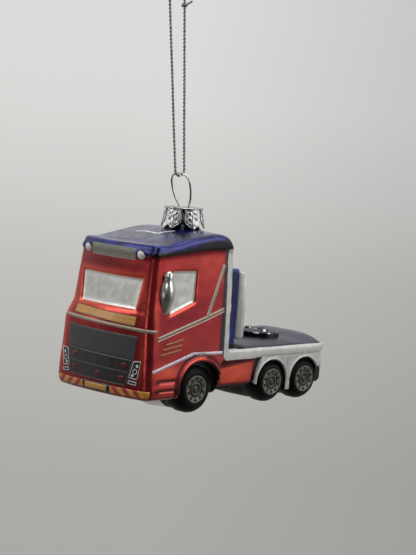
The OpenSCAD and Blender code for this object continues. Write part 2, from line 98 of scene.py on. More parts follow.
# silvered glass under coloured lacquer: colour like tinted metal, pooled darker in hollows, under a glossy clear coat
# the pooled colour also stands for painted shade, and the thin colour for painted highlights
def candyLacquer(name, deep, mid, bright, pooledAndShaded, thin, metallic, blotchMm, fineMm, waveMm, rough, coat, coatRough):
    material, tree = newMaterial(name)
    place = addNode(tree, "TexCoord").outputs["Object"]
    blotch = addNode(tree, "TexNoise", {"Scale": 1000 / blotchMm, "Detail": 1.0}, {"Vector": place}).outputs["Fac"]
    fine = addNode(tree, "TexNoise", {"Scale": 1000 / fineMm, "Detail": 0.0}, {"Vector": place}).outputs["Fac"]
    colour = addNode(tree, "ValToRGB", {"stops": [(0.3, deep), (0.5, mid), (0.72, bright)]},
                     {"Fac": blotch}).outputs["Color"]
    for layer, code in (("pool", pooledAndShaded), ("thin", thin)):
        amount = addNode(tree, "Attribute", {"attribute_name": layer}).outputs["Fac"]
        colour = addNode(tree, "Mix", {"data_type": "RGBA", 7: hexColor(code)}, {0: amount, 6: colour}).outputs[2]
    addSurface(tree, colour, fine, 0.15, rough, 0.3, waveMm,
               {"Metallic": metallic, "Coat Weight": coat, "Coat Roughness": coatRough})
    return material


# plain brushed-on lacquer or print ink, with faint mottling so that no surface is one flat colour
def printInk(name, deep, bright, mottleMm, rough, metallic=0.0, coat=0.0, specular=0.5):
    material, tree = newMaterial(name)
    place = addNode(tree, "TexCoord").outputs["Object"]
    mottle = addNode(tree, "TexNoise", {"Scale": 1000 / mottleMm, "Detail": 2.0}, {"Vector": place}).outputs["Fac"]
    colour = addNode(tree, "ValToRGB", {"stops": [(0.3, deep), (0.7, bright)]}, {"Fac": mottle}).outputs["Color"]
    addSurface(tree, colour, mottle, 0.2, rough, 0.2, 0.04,
               {"Metallic": metallic, "Coat Weight": coat, "Coat Roughness": 0.12, "Specular IOR Level": specular})
    return material


redLacquer = candyLacquer(
    "redLacquerOnSilveredGlass", deep="#8e2229", mid="#9c262c", bright="#a62c2f", pooledAndShaded="#3c0d14", thin="#ee614a",
    metallic=0.75, blotchMm=11.0, fineMm=5.0, waveMm=0.12, rough=(0.2, 0.26), coat=0.15, coatRough=0.08)
blueLacquer = candyLacquer(
    "blueLacquerOnSilveredGlass", deep="#14174a", mid="#1a1e62", bright="#24297c", pooledAndShaded="#07070c", thin="#3b41ba",
    metallic=0.65, blotchMm=7.0, fineMm=3.0, waveMm=0.09, rough=(0.24, 0.32), coat=0.35, coatRough=0.28)
deckLacquer = candyLacquer(
    "greyBlueLacquerOnDeck", deep="#1d1e3a", mid="#23253f", bright="#2d2f4a", pooledAndShaded="#0b0c2a", thin="#70717e",
    metallic=0.5, blotchMm=9.0, fineMm=5.0, waveMm=0.08, rough=(0.36, 0.42), coat=0.16, coatRough=0.3)
# dark red used as painted shade in grooves and gaps
maroonShadeLacquer = candyLacquer(
    "maroonShadeInGrooves", deep="#1c090d", mid="#260c11", bright="#311015", pooledAndShaded="#120507", thin="#6a1c22",
    metallic=0.5, blotchMm=6.0, fineMm=4.0, waveMm=0.1, rough=(0.3, 0.4), coat=0.4, coatRough=0.15)
frostedSilver = candyLacquer(  # window panes: bare silvering, dulled from inside
    "frostedSilveredGlass", deep="#bbbbb7", mid="#c8c9c4", bright="#d6d6d2", pooledAndShaded="#8a8a8c", thin="#f0f0ec",
    metallic=0.55, blotchMm=2.6, fineMm=1.6, waveMm=0.06, rough=(0.34, 0.46), coat=0.3, coatRough=0.1)
bareSilver = candyLacquer(  # mirrors and the roll between the front tyres: bright, almost a looking-glass
    "bareSilveredGlass", deep="#b4b4b0", mid="#c4c4c0", bright="#d2d2ce", pooledAndShaded="#6a6a6c", thin="#e6e6e2",
    metallic=0.9, blotchMm=5.0, fineMm=2.4, waveMm=0.1, rough=(0.2, 0.28), coat=0.3, coatRough=0.06)
# lacquers and metals: satin silver, dull tyres and wet-looking black; yarn and foil glitter, plated wire shines
silverPaint = printInk("silverGreyLacquer", "#d0d1ce", "#e6e7e3", 3.5, (0.3, 0.4), metallic=0.1, coat=0.4)
tyreBlack = printInk("blackTyreLacquer", "#080809", "#101011", 2.0, (0.44, 0.56), specular=0.12)
blackLacquer = printInk("blackGlossLacquer", "#09090b", "#131214", 1.8, (0.16, 0.26), specular=0.4)
metalYarn = printInk("metallisedYarn", "#4a4a4c", "#b4b4b2", 0.6, (0.28, 0.5), metallic=0.75)
springWire = printInk("platedSpringWire", "#b9b6ae", "#d6d3ca", 3.0, (0.12, 0.24), metallic=1.0)
capFoil = printInk("stampedCapFoil", "#9c9c9c", "#c8c8c8", 1.2, (0.22, 0.36), metallic=1.0)
# printed details: thin films of ink, matt to satin and a touch uneven
hubShade = printInk("hubDarkInk", "#2e2b26", "#57534a", 0.9, (0.35, 0.5))
hubInk = printInk("hubGreyInk", "#4c473e", "#8f8979", 0.9, (0.35, 0.5))
signInk = printInk("signGreyInk", "#7d7b71", "#8f8d82", 1.5, (0.4, 0.55))
signEdge = printInk("signEdgeInk", "#a09e97", "#b0aea6", 1.5, (0.4, 0.55))
bannerInk = printInk("ochreInk", "#c98f45", "#dda557", 1.6, (0.35, 0.5), coat=0.3)
bannerEdge = printInk("brownOutlineInk", "#4a3420", "#5c432b", 1.6, (0.35, 0.5))
tanInk = printInk("tanStripeInk", "#988b77", "#b4a793", 1.4, (0.32, 0.46), metallic=0.3, coat=0.2)
paleLine = printInk("paleLineInk", "#d6ccc0", "#e8dfd4", 1.4, (0.32, 0.46))
lilacInk = printInk("lilacWhiteInk", "#d6cad8", "#eae2ea", 1.4, (0.3, 0.44), coat=0.2)
goldInk = printInk("bronzeInk", "#8f6a40", "#ab8250", 1.2, (0.32, 0.46), metallic=0.3)
lampWhite = printInk("whiteEnamel", "#ececec", "#f8f8f6", 1.2, (0.2, 0.34), coat=0.3)
lampBlack = printInk("blackPrintInk", "#17161a", "#252328", 1.2, (0.3, 0.45), coat=0.2)
grilleInk = printInk("grilleBlackInk", "#150f12", "#20171b", 1.6, (0.3, 0.45), coat=0.2)
frameInk = printInk("grilleFrameInk", "#3a393e", "#4c4b50", 1.2, (0.3, 0.45))
emberInk = printInk("darkRedInk", "#5b1720", "#741d27", 1.2, (0.3, 0.45), metallic=0.3)
hazardYellow = printInk("hazardYellowInk", "#c98a34", "#e0a648", 1.4, (0.32, 0.46), coat=0.2)
hazardRed = printInk("hazardRedInk", "#a52e30", "#bf3f3e", 1.4, (0.32, 0.46), coat=0.2)


# printed mesh: fine slanted lines on dark grey, drawn a little coarser than print so that they show
def meshPrint(name, turns, pitchMm, ground, line):
    material, tree = newMaterial(name)
    place = addNode(tree, "TexCoord").outputs["Object"]
    lines = []
    for degrees in turns:
        laid = addNode(tree, "Mapping", {"Rotation": (math.radians(degrees), 0, 0)}, {"Vector": place})
        lines.append(addNode(tree, "TexWave", {"bands_direction": "Z", "Scale": 314 / pitchMm, "Distortion": 0.4,
                                               "Detail": 1.0}, {"Vector": laid.outputs["Vector"]}).outputs["Fac"])
    faint = addNode(tree, "Math", {"operation": "MULTIPLY", 1: 0.3}, {0: lines[1]}).outputs[0]
    both = addNode(tree, "Math", {"operation": "MULTIPLY_ADD", 1: 0.7}, {0: lines[0], 2: faint}).outputs[0]
    tone = addNode(tree, "ValToRGB", {"stops": [(0.3, ground), (0.62, ground), (0.8, line)]}, {"Fac": both})
    shader = addNode(tree, "BsdfPrincipled", {"Roughness": 0.4, "Specular IOR Level": 0.4},
                     {"Base Color": tone.outputs["Color"]})
    addNode(tree, "OutputMaterial", links={"Surface": shader.outputs["BSDF"]})
    return material


meshInk = meshPrint("grilleMeshInk", turns=(6, -38), pitchMm=0.62, ground="#2b2b2f", line="#6a6a70")

# helpers for making pieces


def linkObject(name, data):
    thing = bpy.data.objects.new(name, data)
    bpy.context.scene.collection.objects.link(thing)
    return thing


def meshOf(name, bm):  # moves the work into a mesh and frees it
    mesh = bpy.data.meshes.new(name)
    bm.to_mesh(mesh)
    bm.free()
    return mesh


def smoothObject(name, bm, materials):
    mesh = meshOf(name, bm)
    for polygon in mesh.polygons:
        polygon.use_smooth = True
    for material in materials:
        mesh.materials.append(material)
    return linkObject(name, mesh)


def finishPiece(name, bm, materials, replaced="", solid=0.0, body="ornament"):
    bmesh.ops.transform(bm, matrix=toRow, verts=bm.verts)
    piece = smoothObject(name, bm, materials)
    if solid:
        wall = piece.modifiers.new("wall", "SOLIDIFY")
        wall.thickness, wall.offset = solid * 0.001, -1
    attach(piece, body)
    if replaced:
        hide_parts(replaced)
    return piece


def mergeInto(bm, other):
    mesh = meshOf("part", other)
    bm.from_mesh(mesh)
    bpy.data.meshes.remove(mesh)


def faceOut(bm):
    bmesh.ops.recalc_face_normals(bm, faces=bm.faces)


def markSharp(bm, degrees):
    for edge in bm.edges:
        edge.smooth = len(edge.link_faces) != 2 or edge.calc_face_angle(0) < math.radians(degrees)


def extrude(bm, face, first):  # a copy of the face, joined to it by sides; only the first face stays, as an end
    grown = bmesh.ops.extrude_face_region(bm, geom=[face])["geom"]
    if not first:
        bmesh.ops.delete(bm, geom=[face], context="FACES_ONLY")
    return next(g for g in grown if isinstance(g, bmesh.types.BMFace))


def loft(bm, levels, cornerR, bow=0.0, rearR=0.0):  # levels are (z, half width, front x, rear x), from the bottom up
    z, half, front, rear = levels[0]
    older = set(bm.faces)
    corners = [bm.verts.new(p) for p in ((rear, -half, z), (front, -half, z), (front, half, z), (rear, half, z))]
    bm.faces.new(corners)
    for chosen, radius in ((corners[1:3], cornerR), ((corners[0], corners[3]), rearR)):
        if radius:
            bmesh.ops.bevel(bm, geom=list(chosen), offset=radius, segments=6, profile=0.5, affect="VERTICES",
                            material=-1)
    face = next(f for f in bm.faces if f not in older)
    if bow:
        long = [e for e in face.edges if abs(e.verts[0].co.x - front) < 0.01 and abs(e.verts[1].co.x - front) < 0.01]
        bmesh.ops.subdivide_edges(bm, edges=long, cuts=11)
        for vert in face.verts:
            if vert.co.x > front - cornerR - 0.01:
                vert.co.x -= vert.co.y ** 2 / (2 * bow)
    previous = levels[0]
    for level in levels[1:]:
        face = extrude(bm, face, previous is levels[0])
        spread = level[1] / previous[1]
        stretch = (level[2] - level[3]) / (previous[2] - previous[3])
        bmesh.ops.translate(bm, vec=(level[3] - previous[3], 0, level[0] - previous[0]), verts=face.verts)
        bmesh.ops.scale(bm, vec=(stretch, spread, 1), verts=face.verts, space=Matrix.Translation((-level[3], 0, 0)))
        previous = level


def prism(bm, outline, y0, y1):  # an outline in the side view, made solid between two widths
    face = bm.faces.new([bm.verts.new((x, y0, z)) for x, z in outline])
    bmesh.ops.translate(bm, vec=(0, y1 - y0, 0), verts=extrude(bm, face, True).verts)


# camera at the photograph's view, rolled by the lean at which the ornament hangs


view = {"eye": (360.29, 373.71, -52.53), "target": (-14.0, 3.5, -125.6), "rollDeg": 4.154, "lens": 94.8,
        "shift": (20.48 / 555, 57.41 / 555)}


def makeCamera():
    camera = linkObject("camera", bpy.data.cameras.new("camera"))
    eye, target = Vector(view["eye"]) * 0.001, Vector(view["target"]) * 0.001
    forward = (target - eye).normalized()
    right = forward.cross(Vector((0, 0, 1))).normalized()
    right = Matrix.Rotation(math.radians(view["rollDeg"]), 3, -forward) @ right
    up = right.cross(forward)
    camera.matrix_world = Matrix.Translation(eye) @ Matrix((right, up, -forward)).transposed().to_4x4()
    camera.data.lens, camera.data.sensor_width = view["lens"], 36
    camera.data.shift_x, camera.data.shift_y = view["shift"]
    camera.data.clip_start, camera.data.clip_end = 0.01, 20
    bpy.context.scene.camera = camera


makeCamera()
print("camera placed")

# thread: two plies of metallised yarn twisted round each other, in a loop under the wire's top and up to the hook

thread = {"width": 1.0, "twistMm": 2.6, "stepMm": 0.26, "knotAt": (3.7, -3.1, 141), "tailTo": (1.8, -1.2, 142.6),
          "route": [(3.4, 0, 81.7), (4.5, 0, 82), (5.3, 0, 82.8), (5.6, 0, 83.9), (6, -0.2, 88), (7.1, -0.9, 100),
                    (8.4, -1.7, 115), (9.8, -2.5, 130), (10.9, -3.1, 142), (11.2, -3.3, 146.8), (10.7, -3.4, 148.7),
                    (9.4, -3.5, 150), (7.5, -3.5, 150.5), (5.6, -3.5, 150), (4.3, -3.4, 148.7), (3.8, -3.3, 146.8),
                    (3.7, -3.1, 142), (3.2, -2.5, 130), (2.5, -1.7, 115), (1.9, -0.9, 100), (1.4, -0.2, 88),
                    (1.2, 0, 83.9), (1.5, 0, 82.8), (2.3, 0, 82)]}


def smoothRoute(points, step):  # a smooth curve through the points, with a point every step
    points = [Vector(p) for p in points]
    ends = [points[0] * 2 - points[1]] + points + [points[-1] * 2 - points[-2]]
    fine = []
    for a, b, c, d in zip(ends, ends[1:], ends[2:], ends[3:]):
        count = max(1, round((c - b).length / step))
        for i in range(count):
            t = i / count
            fine.append(0.5 * (2 * b + (c - a) * t + (2 * a - 5 * b + 4 * c - d) * t ** 2
                               + (3 * b - a - 3 * c + d) * t ** 3))
    return fine + [points[-1]]


def sweep(points, section, twistMm=0.0):  # a section carried along the points and twisted, as a mesh in millimetres
    profile = bpy.data.curves.new("profile", "CURVE")
    outline = profile.splines.new("POLY")
    outline.points.add(len(section) - 1)
    for point, (u, v) in zip(outline.points, section):
        point.co = (u, v, 0, 1)
    outline.use_cyclic_u = True
    profileObject = linkObject("profile", profile)
    path = bpy.data.curves.new("path", "CURVE")
    path.dimensions, path.bevel_mode, path.bevel_object, path.use_fill_caps = "3D", "OBJECT", profileObject, True
    line = path.splines.new("POLY")
    line.points.add(len(points) - 1)
    gone = 0.0
    for i, point in enumerate(points):
        gone += (point - points[i - 1]).length if i else 0
        line.points[i].co = (*point, 1)
        line.points[i].tilt = 2 * math.pi * gone / twistMm if twistMm else 0
    pathObject = linkObject("path", path)
    bpy.context.view_layer.update()
    swept = bpy.data.meshes.new_from_object(pathObject.evaluated_get(bpy.context.evaluated_depsgraph_get()))
    bm = bmesh.new()
    bm.from_mesh(swept)
    bmesh.ops.remove_doubles(bm, verts=bm.verts, dist=0.001)
    faceOut(bm)
    bpy.data.objects.remove(pathObject)
    bpy.data.objects.remove(profileObject)
    bpy.data.meshes.remove(swept)
    return bm


def ringSection(radius, lobes=0, depth=0.0, count=12):
    angles = [2 * math.pi * i / count for i in range(count)]
    radii = [radius - depth * (0.5 - 0.5 * math.cos(lobes * a)) for a in angles]
    return [(r * math.cos(a), r * math.sin(a)) for r, a in zip(radii, angles)]


def makeThread():
    fine = smoothRoute(thread["route"], thread["stepMm"])
    strand = sweep(fine, ringSection(thread["width"] / 2, 2, 0.24, 14), thread["twistMm"])
    cord = finishPiece("threadLoop", strand, [metalYarn], "thread", body="thread")
    knot = bmesh.new()
    at, tail = Vector(thread["knotAt"]), Vector(thread["tailTo"])
    for turn, tilt in ((0.0, 0.35), (1.1, -0.4)):  # two turns of thread drawn tight over the strand
        loop = [at + Vector((0.62 * math.cos(a), 0.62 * math.sin(a),
                             0.45 * math.sin(a + turn) * tilt + 0.34 * (turn - 0.55)))
                for a in [2 * math.pi * i / 20 for i in range(21)]]
        mergeInto(knot, sweep(loop, ringSection(0.5, 2, 0.2, 12), 1.6))
    end = smoothRoute([at, (at + tail) / 2 - Vector((0, 0, 0.2)), tail], 0.3)
    mergeInto(knot, sweep(end, ringSection(0.42, 2, 0.18, 12), 2.0))
    knotPiece = finishPiece("threadKnot", knot, [metalYarn], "thread_knot", body="thread")


makeThread()

# spring wire, bent into a leaning loop with a straight top; its legs spread inside the neck

wire = {"width": 0.75, "loopWide": 9.2, "loopHigh": 12.4, "topWide": 2.0, "lean": 16.0, "holeGap": 4.4, "legMm": 9.0,
        "reach": 3.975}


def makeWire():
    lean = math.radians(wire["lean"])
    shoulder = (wire["loopWide"] - wire["topWide"]) / 2
    half = [(wire["topWide"] / 2 + shoulder * math.cos(a), wire["loopHigh"] - shoulder + shoulder * math.sin(a))
            for a in [math.radians(t) for t in range(90, -1, -15)]]
    half += [(wire["loopWide"] * 0.49, wire["loopHigh"] * 0.5), (wire["loopWide"] * 0.41, wire["loopHigh"] * 0.25),
             (wire["holeGap"] * 0.59, wire["loopHigh"] * 0.07)]
    side = [(h * math.sin(lean), w, capTop + h * math.cos(lean)) for w, h in half]
    side += [(0, wire["holeGap"] / 2, capTop - 0.3), (0, wire["holeGap"] / 2 + 0.1, capTop - 1.8),
             (0, wire["reach"], capTop + 0.7 - wire["legMm"]), (0, wire["reach"], capTop - 0.3 - wire["legMm"])]
    route = [(x, -y, z) for x, y, z in side[::-1]] + side
    bm = sweep(smoothRoute(route, 0.35), ringSection(wire["width"] / 2, count=12))
    finishPiece("wireLoop", bm, [springWire], "hanger_wire", body="hanger")


makeWire()

# crown cap: stamped foil petals round a flat top, with a scroll embossed in each

cap = {"topR": 6.9, "rimR": 8.0, "high": 7.3, "sheet": 0.28, "petals": 6, "turnDeg": 45.0, "emboss": 0.3,
       "outline": [(0.0, 1.0), (0.1, 0.93), (0.3, 0.9), (0.55, 0.93), (0.7, 0.88), (0.8, 0.74), (0.86, 0.52),
                   (0.92, 0.4), (1.0, 0.14)]}


def between(table, t):  # straight-line reading of a table of (place, value)
    for (a, va), (b, vb) in zip(table, table[1:]):
        if t <= b:
            return va + (vb - va) * max(0.0, (t - a) / (b - a))
    return table[-1][1]


def scroll(u, v):  # height of the stamped ornament: a rim, a stem and two pairs of curls
    rim = math.exp(-((abs(u) - 0.84) / 0.1) ** 2) * (v < 0.9)
    stem = math.exp(-(u / 0.1) ** 2) * (0.25 < v < 0.95)
    curls = sum(math.exp(-((math.hypot(abs(u) - cu, (v - cv) * 1.5) - r) / 0.075) ** 2)
                for cu, cv, r in ((0.42, 0.3, 0.2), (0.4, 0.62, 0.24)))
    return rim + 0.8 * stem + 0.75 * curls


def makeCap():
    bm = bmesh.new()
    top = bmesh.ops.create_circle(bm, cap_ends=True, radius=cap["topR"], segments=96)["verts"]
    bmesh.ops.translate(bm, vec=(0, 0, capTop), verts=top)
    face = bm.faces[:][0]
    for thickness, depth in ((0.5, 0), (0.5, -0.12), (2.6, 0), (0.4, 0.12)):
        bmesh.ops.inset_region(bm, faces=[face], thickness=thickness, depth=depth)
    if face.normal.z < 0:
        bmesh.ops.reverse_faces(bm, faces=bm.faces)
    rim = [e for e in bm.edges if e.is_boundary]
    skirt = [g for g in bmesh.ops.extrude_edge_only(bm, edges=rim)["geom"] if isinstance(g, bmesh.types.BMVert)]
    bmesh.ops.scale(bm, vec=(1.012, 1.012, 1), verts=skirt)
    bmesh.ops.translate(bm, vec=(0, 0, -0.5), verts=skirt)
    pitch = 2 * math.pi / cap["petals"]
    for i in range(cap["petals"]):
        grid = bmesh.ops.create_grid(bm, x_segments=26, y_segments=34, size=1.0)["verts"]
        for vert in grid:
            u, v = vert.co.x, (1 - vert.co.y) / 2
            angle = math.radians(cap["turnDeg"]) + (i + 0.5) * pitch
            angle += u * between(cap["outline"], v) * pitch * 0.5 * (0.97 - 0.05 * v)
            flare = cap["topR"] * 1.012 + (cap["rimR"] - cap["topR"]) * v ** 1.4
            radius = flare - 0.34 + cap["emboss"] * (scroll(u, v) - 0.5 * u * u)
            vert.co = (radius * math.cos(angle), radius * math.sin(angle), capTop - 0.42 - (cap["high"] - 0.45) * v)
    faceOut(bm)
    for f in bm.faces:
        centre = f.calc_center_median()
        out = Vector((centre.x, centre.y, 0)) if centre.z < capTop - 0.2 else Vector((0, 0, 1))
        if f.normal.dot(out) < 0:
            f.normal_flip()
    finishPiece("crownCap", bm, [capFoil], "cap", cap["sheet"], "hanger")


makeCap()
print("wire and cap made")

# the body's blown shell: plain forms, fused and softened

shell = {"voxel": 0.48, "smooth": 7, "bow": 90.0, "waveMm": 0.13, "archR": 10.2, "archFloor": 18.0, "screenDeep": 0.75,
         "windowDeep": 0.7, "crown": 1.0, "rearCrown": 1.6, "twist": 0.075}
axles = [(7.45, 8.8), (-32.1, 7.9), (-50.2, 7.9)]  # place along the truck, tyre radius
axleZ = 8.8
footEnd = -18.2  # the blue block's foot runs out on the deck here
cabLevels = [(6.4, 21.0, 35.8, -2.6), (7.1, 21.7, 36.5, -2.6), (9.5, 22.2, 36.9, -2.6), (17.6, 21.65, 36.8, -2.6),
             (18.4, 21.6, 36.75, -4.0), (24.0, 21.2, 36.6, -4.0), (31.5, 20.7, 36.3, -4.0), (35.7, 20.42, 35.1, -4.0),
             (36.3, 20.38, 34.75, -4.0), (55.0, 19.1, 32.6, -4.0), (59.0, 18.85, 32.1, -4.0)]
panelLevels = [(18.2, 20.4, -4.5, -7.3), (31.5, 20.1, -4.7, -7.6), (57.0, 18.6, -5.1, -8.2)]
fillLevels = [(18.2, 19.7, -3.0, -6.0), (31.5, 19.4, -3.0, -6.0), (57.0, 17.9, -3.0, -6.4)]
blockLevels = [(18.5, 17.8, -6.0, -13.6), (50.6, 17.8, -6.0, -13.6)]
deckLevels = [(18.2, 20.1, -2.0, deckEnd + 1.8), (19.4, 20.1, -2.0, deckEnd + 0.7), (20.6, 20.1, -2.0, deckEnd),
              (21.3, 20.1, -2.0, deckEnd), (21.9, 20.1, -2.0, deckEnd + 0.6)]
hullLevels = [(7.5, 16.5, 0.0, -57.6), (19.0, 16.5, 0.0, -57.6)]
roofOutline = [(32.8, 55.1), (33.1, 55.9), (32.7, 57.3), (31.9, 57.9), (24.3, 59.7), (14.2, 61.6), (6.5, 62.8),
               (1.6, 63.3), (-2.0, 63.2), (-4.6, 62.6), (-6.6, 61.3), (-7.7, 59.6), (-7.9, 58.4), (-7.6, 57.6),
               (3.0, 57.6)]  # along and up
roofHalf = 19.5
screenOutline = [(-13.65, 37.0), (13.65, 37.0), (14.8, 47.4), (-14.8, 47.4)]  # across and up
windowOutline = [(23.0, 35.7), (21.5, 50.3), (10.5, 50.3), (11.7, 39.6)]  # along and up


def insideBy(outline, a, b):  # signed distance to a convex outline, positive inside
    best = 1e9
    middle = (sum(p[0] for p in outline) / len(outline), sum(p[1] for p in outline) / len(outline))
    for (ax, ay), (bx, by) in zip(outline, outline[1:] + outline[:1]):
        nx, ny = ay - by, bx - ax
        length = math.hypot(nx, ny)
        sign = 1 if (middle[0] - ax) * nx + (middle[1] - ay) * ny > 0 else -1
        best = min(best, sign * ((a - ax) * nx + (b - ay) * ny) / length)
    return best


def smooth01(t):
    t = min(1.0, max(0.0, t))
    return t * t * (3 - 2 * t)


def formsToShell(bm, cutter):  # fuses rough forms into one skin, as the glass was blown in its mould
    rough, cutting = [linkObject(name, meshOf(name, source)) for name, source in (("forms", bm), ("cutter", cutter))]
    fuse = rough.modifiers.new("fuse", "REMESH")
    cut = rough.modifiers.new("cut", "BOOLEAN")
    cut.operation, cut.object, cut.solver = "DIFFERENCE", cutting, "FAST"
    again = rough.modifiers.new("again", "REMESH")
    for remesh in (fuse, again):
        remesh.mode, remesh.voxel_size = "VOXEL", shell["voxel"]
    soften = rough.modifiers.new("soften", "SMOOTH")
    soften.factor, soften.iterations = 0.5, shell["smooth"]
    bpy.context.view_layer.update()
    fused = bpy.data.meshes.new_from_object(rough.evaluated_get(bpy.context.evaluated_depsgraph_get()))
    skin = bmesh.new()
    skin.from_mesh(fused)
    for thing in (rough, cutting):
        bpy.data.objects.remove(thing)
    bpy.data.meshes.remove(fused)
    return skin


def roofForm(bm):  # a wedge that rises to the back, rounded at its sides and front corners
    face = bm.faces.new([bm.verts.new((x, -roofHalf, z)) for x, z in roofOutline])
    slices, edgeR, y, made = 26, 2.2, -roofHalf, list(face.verts)
    for i in range(slices):
        face = extrude(bm, face, i == 0)
        ahead = roofHalf * math.sin(math.pi * ((i + 1) / slices - 0.5))  # slices lie closer at the sides
        bmesh.ops.translate(bm, vec=(0, ahead - y, 0), verts=face.verts)
        y = ahead
        made += list(face.verts)
    for vert in made:
        past = abs(vert.co.y) - roofHalf + edgeR
        drop = edgeR - math.sqrt(max(0.0, edgeR ** 2 - past ** 2)) if past > 0 else 0
        vert.co.x -= vert.co.y ** 2 / (2 * shell["bow"]) * smooth01((vert.co.x - 10) / 20)
        if vert.co.x > 26:
            vert.co.x -= drop
        elif vert.co.x < -6:
            vert.co.x += drop * 0.5
        if vert.co.z > 57.61 or vert.co.x > 20 and vert.co.z > 57:
            vert.co.z -= drop * 0.75 + vert.co.y ** 2 * 0.0012


def lowFront(z):  # 1 low on the front, fading out under the windscreen
    return smooth01((38 - z) / 8)


def grooveAt(x, z, half):  # grooves round the front arch and over the steps ahead of it, 1 at their bottoms
    ring = math.hypot(x - axles[0][0], z - axleZ)
    around = math.exp(-((ring - 12.3) / half) ** 2) * (z > 12 or x > axles[0][0])
    fade = smooth01((x - 18.8) / 1.2) * smooth01((30.0 - x) / 1.5)
    steps = max(math.exp(-((z - level) / half) ** 2) for level in (12.9, 9.7))
    return max(around, steps * fade)


def blownShell():
    bm = bmesh.new()
    loft(bm, cabLevels, 2.3, shell["bow"])
    roofForm(bm)
    loft(bm, panelLevels, 0)
    loft(bm, fillLevels, 0)
    loft(bm, blockLevels, 0, 0, 1.6)
    loft(bm, deckLevels, 0, 0, 2.0)
    loft(bm, hullLevels, 0)
    prism(bm, [(1.0, 9.0), (1.0, 18.6), (-22.6, 18.6), (-20.6, 9.0)], -19.9, 19.9)
    prism(bm, [(0.0, 7.5), (0.0, 9.6), (-20.6, 9.6), (-20.0, 7.5)], -18.6, 18.6)
    prism(bm, [(-19.0, 9.0), (-19.0, 18.6), (-27.0, 18.6), (-24.4, 9.0)], -18.4, 18.4)
    faceOut(bm)
    cutter = bmesh.new()
    for side in (-1, 1):
        place = Matrix.Translation((axles[0][0], side * (shell["archFloor"] + 5), axleZ))
        bmesh.ops.create_cone(cutter, cap_ends=True, segments=72, radius1=shell["archR"], radius2=shell["archR"],
                              depth=10, matrix=place @ Matrix.Rotation(math.pi / 2, 4, "X"))
    bm = formsToShell(bm, cutter)
    for vert in bm.verts:
        x, y, z = vert.co
        if x > 24 and vert.normal.x > 0.4:  # windscreen pocket, with a soft rim
            deep = smooth01((insideBy(screenOutline, y, z) + 0.9) / 1.5)
            vert.co.x -= shell["screenDeep"] * deep
        if abs(y) > 15 and x > 5 and abs(vert.normal.y) > 0.5:
            deep = smooth01((insideBy(windowOutline, x, z) + 0.7) / 1.3)
            vert.co.y -= math.copysign(shell["windowDeep"] * deep, y)
            vert.co.y -= math.copysign(0.45 * grooveAt(x, z, 0.45), y)
        if x < -13 and 20.5 < z < 24 and vert.normal.z > 0.4:  # a crowned deck, with a groove along its rails
            rise = shell["crown"] + shell["rearCrown"] * smooth01((-50 - x) / 7)
            vert.co.z += rise * max(0.0, 1 - (y / 18) ** 4) * smooth01((x - deckEnd + 0.5) / 2.5)
            vert.co.z -= 0.4 * math.exp(-((abs(y) - 18.5) / 0.45) ** 2)
        vert.co.x -= shell["twist"] * y * smooth01((x - 18) / 12) * lowFront(z)  # the low front sits a little askew
        wave = noise.noise(vert.co * 0.11) * 0.7 + noise.noise(vert.co * 0.3 + Vector((7, 3, 1))) * 0.3
        vert.co += vert.normal * shell["waveMm"] * wave  # blown glass is never quite flat
    return bm


def cutAlong(bm, field):  # splits faces where a signed distance passes zero, so that a colour's edge is clean
    away = {v: field(v.co) for v in bm.verts}
    onLine = []
    for vert, d in away.items():
        if abs(d) < 0.04:
            away[vert] = 0.0
            onLine.append(vert)
    for edge in list(bm.edges):
        a, b = edge.verts
        if away[a] * away[b] < 0:
            onLine.append(bmesh.utils.edge_split(edge, a, away[a] / (away[a] - away[b]))[1])
    bmesh.ops.connect_verts(bm, verts=onLine)


def eaveDeep(x):  # the black band along the roof's sides, deepest towards the back
    return (1.2 + 0.04 * (28 - x)) * (1 - 0.3 * smooth01((x - 7) / 6) * smooth01((28.8 - x) / 1.5))


def eaveEdge(co):
    return roofEdge(co) - eaveDeep(co.x) if abs(co.y) > 15 else 5


def roofEdge(co):  # where the blue starts, rising towards the back
    return co.z - 55.2 - 0.095 * min(27.0, max(0.0, 30 - co.x)) if co.z > 45 else -5


def gapEdge(z):  # the red ends here at the cab's rear, and a dark gap of painted shade follows, wider low down
    return -1.5 - 0.075 * (z - 28) if z > 20.4 else -4.0


def panelEdge(z):  # where the silver starts: leaning back towards the roof, and round at the lower corner
    return -4.6 - 0.02 * max(0.0, z - 24) - 0.35 * max(0.0, 20.4 - z) ** 2


# where one colour ends: heights, places along and half widths
sillZ, skirtZ, deckZ, footZ, blockZ = 18.15, 9.1, 20.5, 23.4, 51.0
cabRear, panelRear, panelFront, blockHalf, railHalf = -2.7, -8.2, -6.5, 18.2, 18.7


def skirtEnd(z):
    return -20.4 - (z - skirtZ) * 0.21


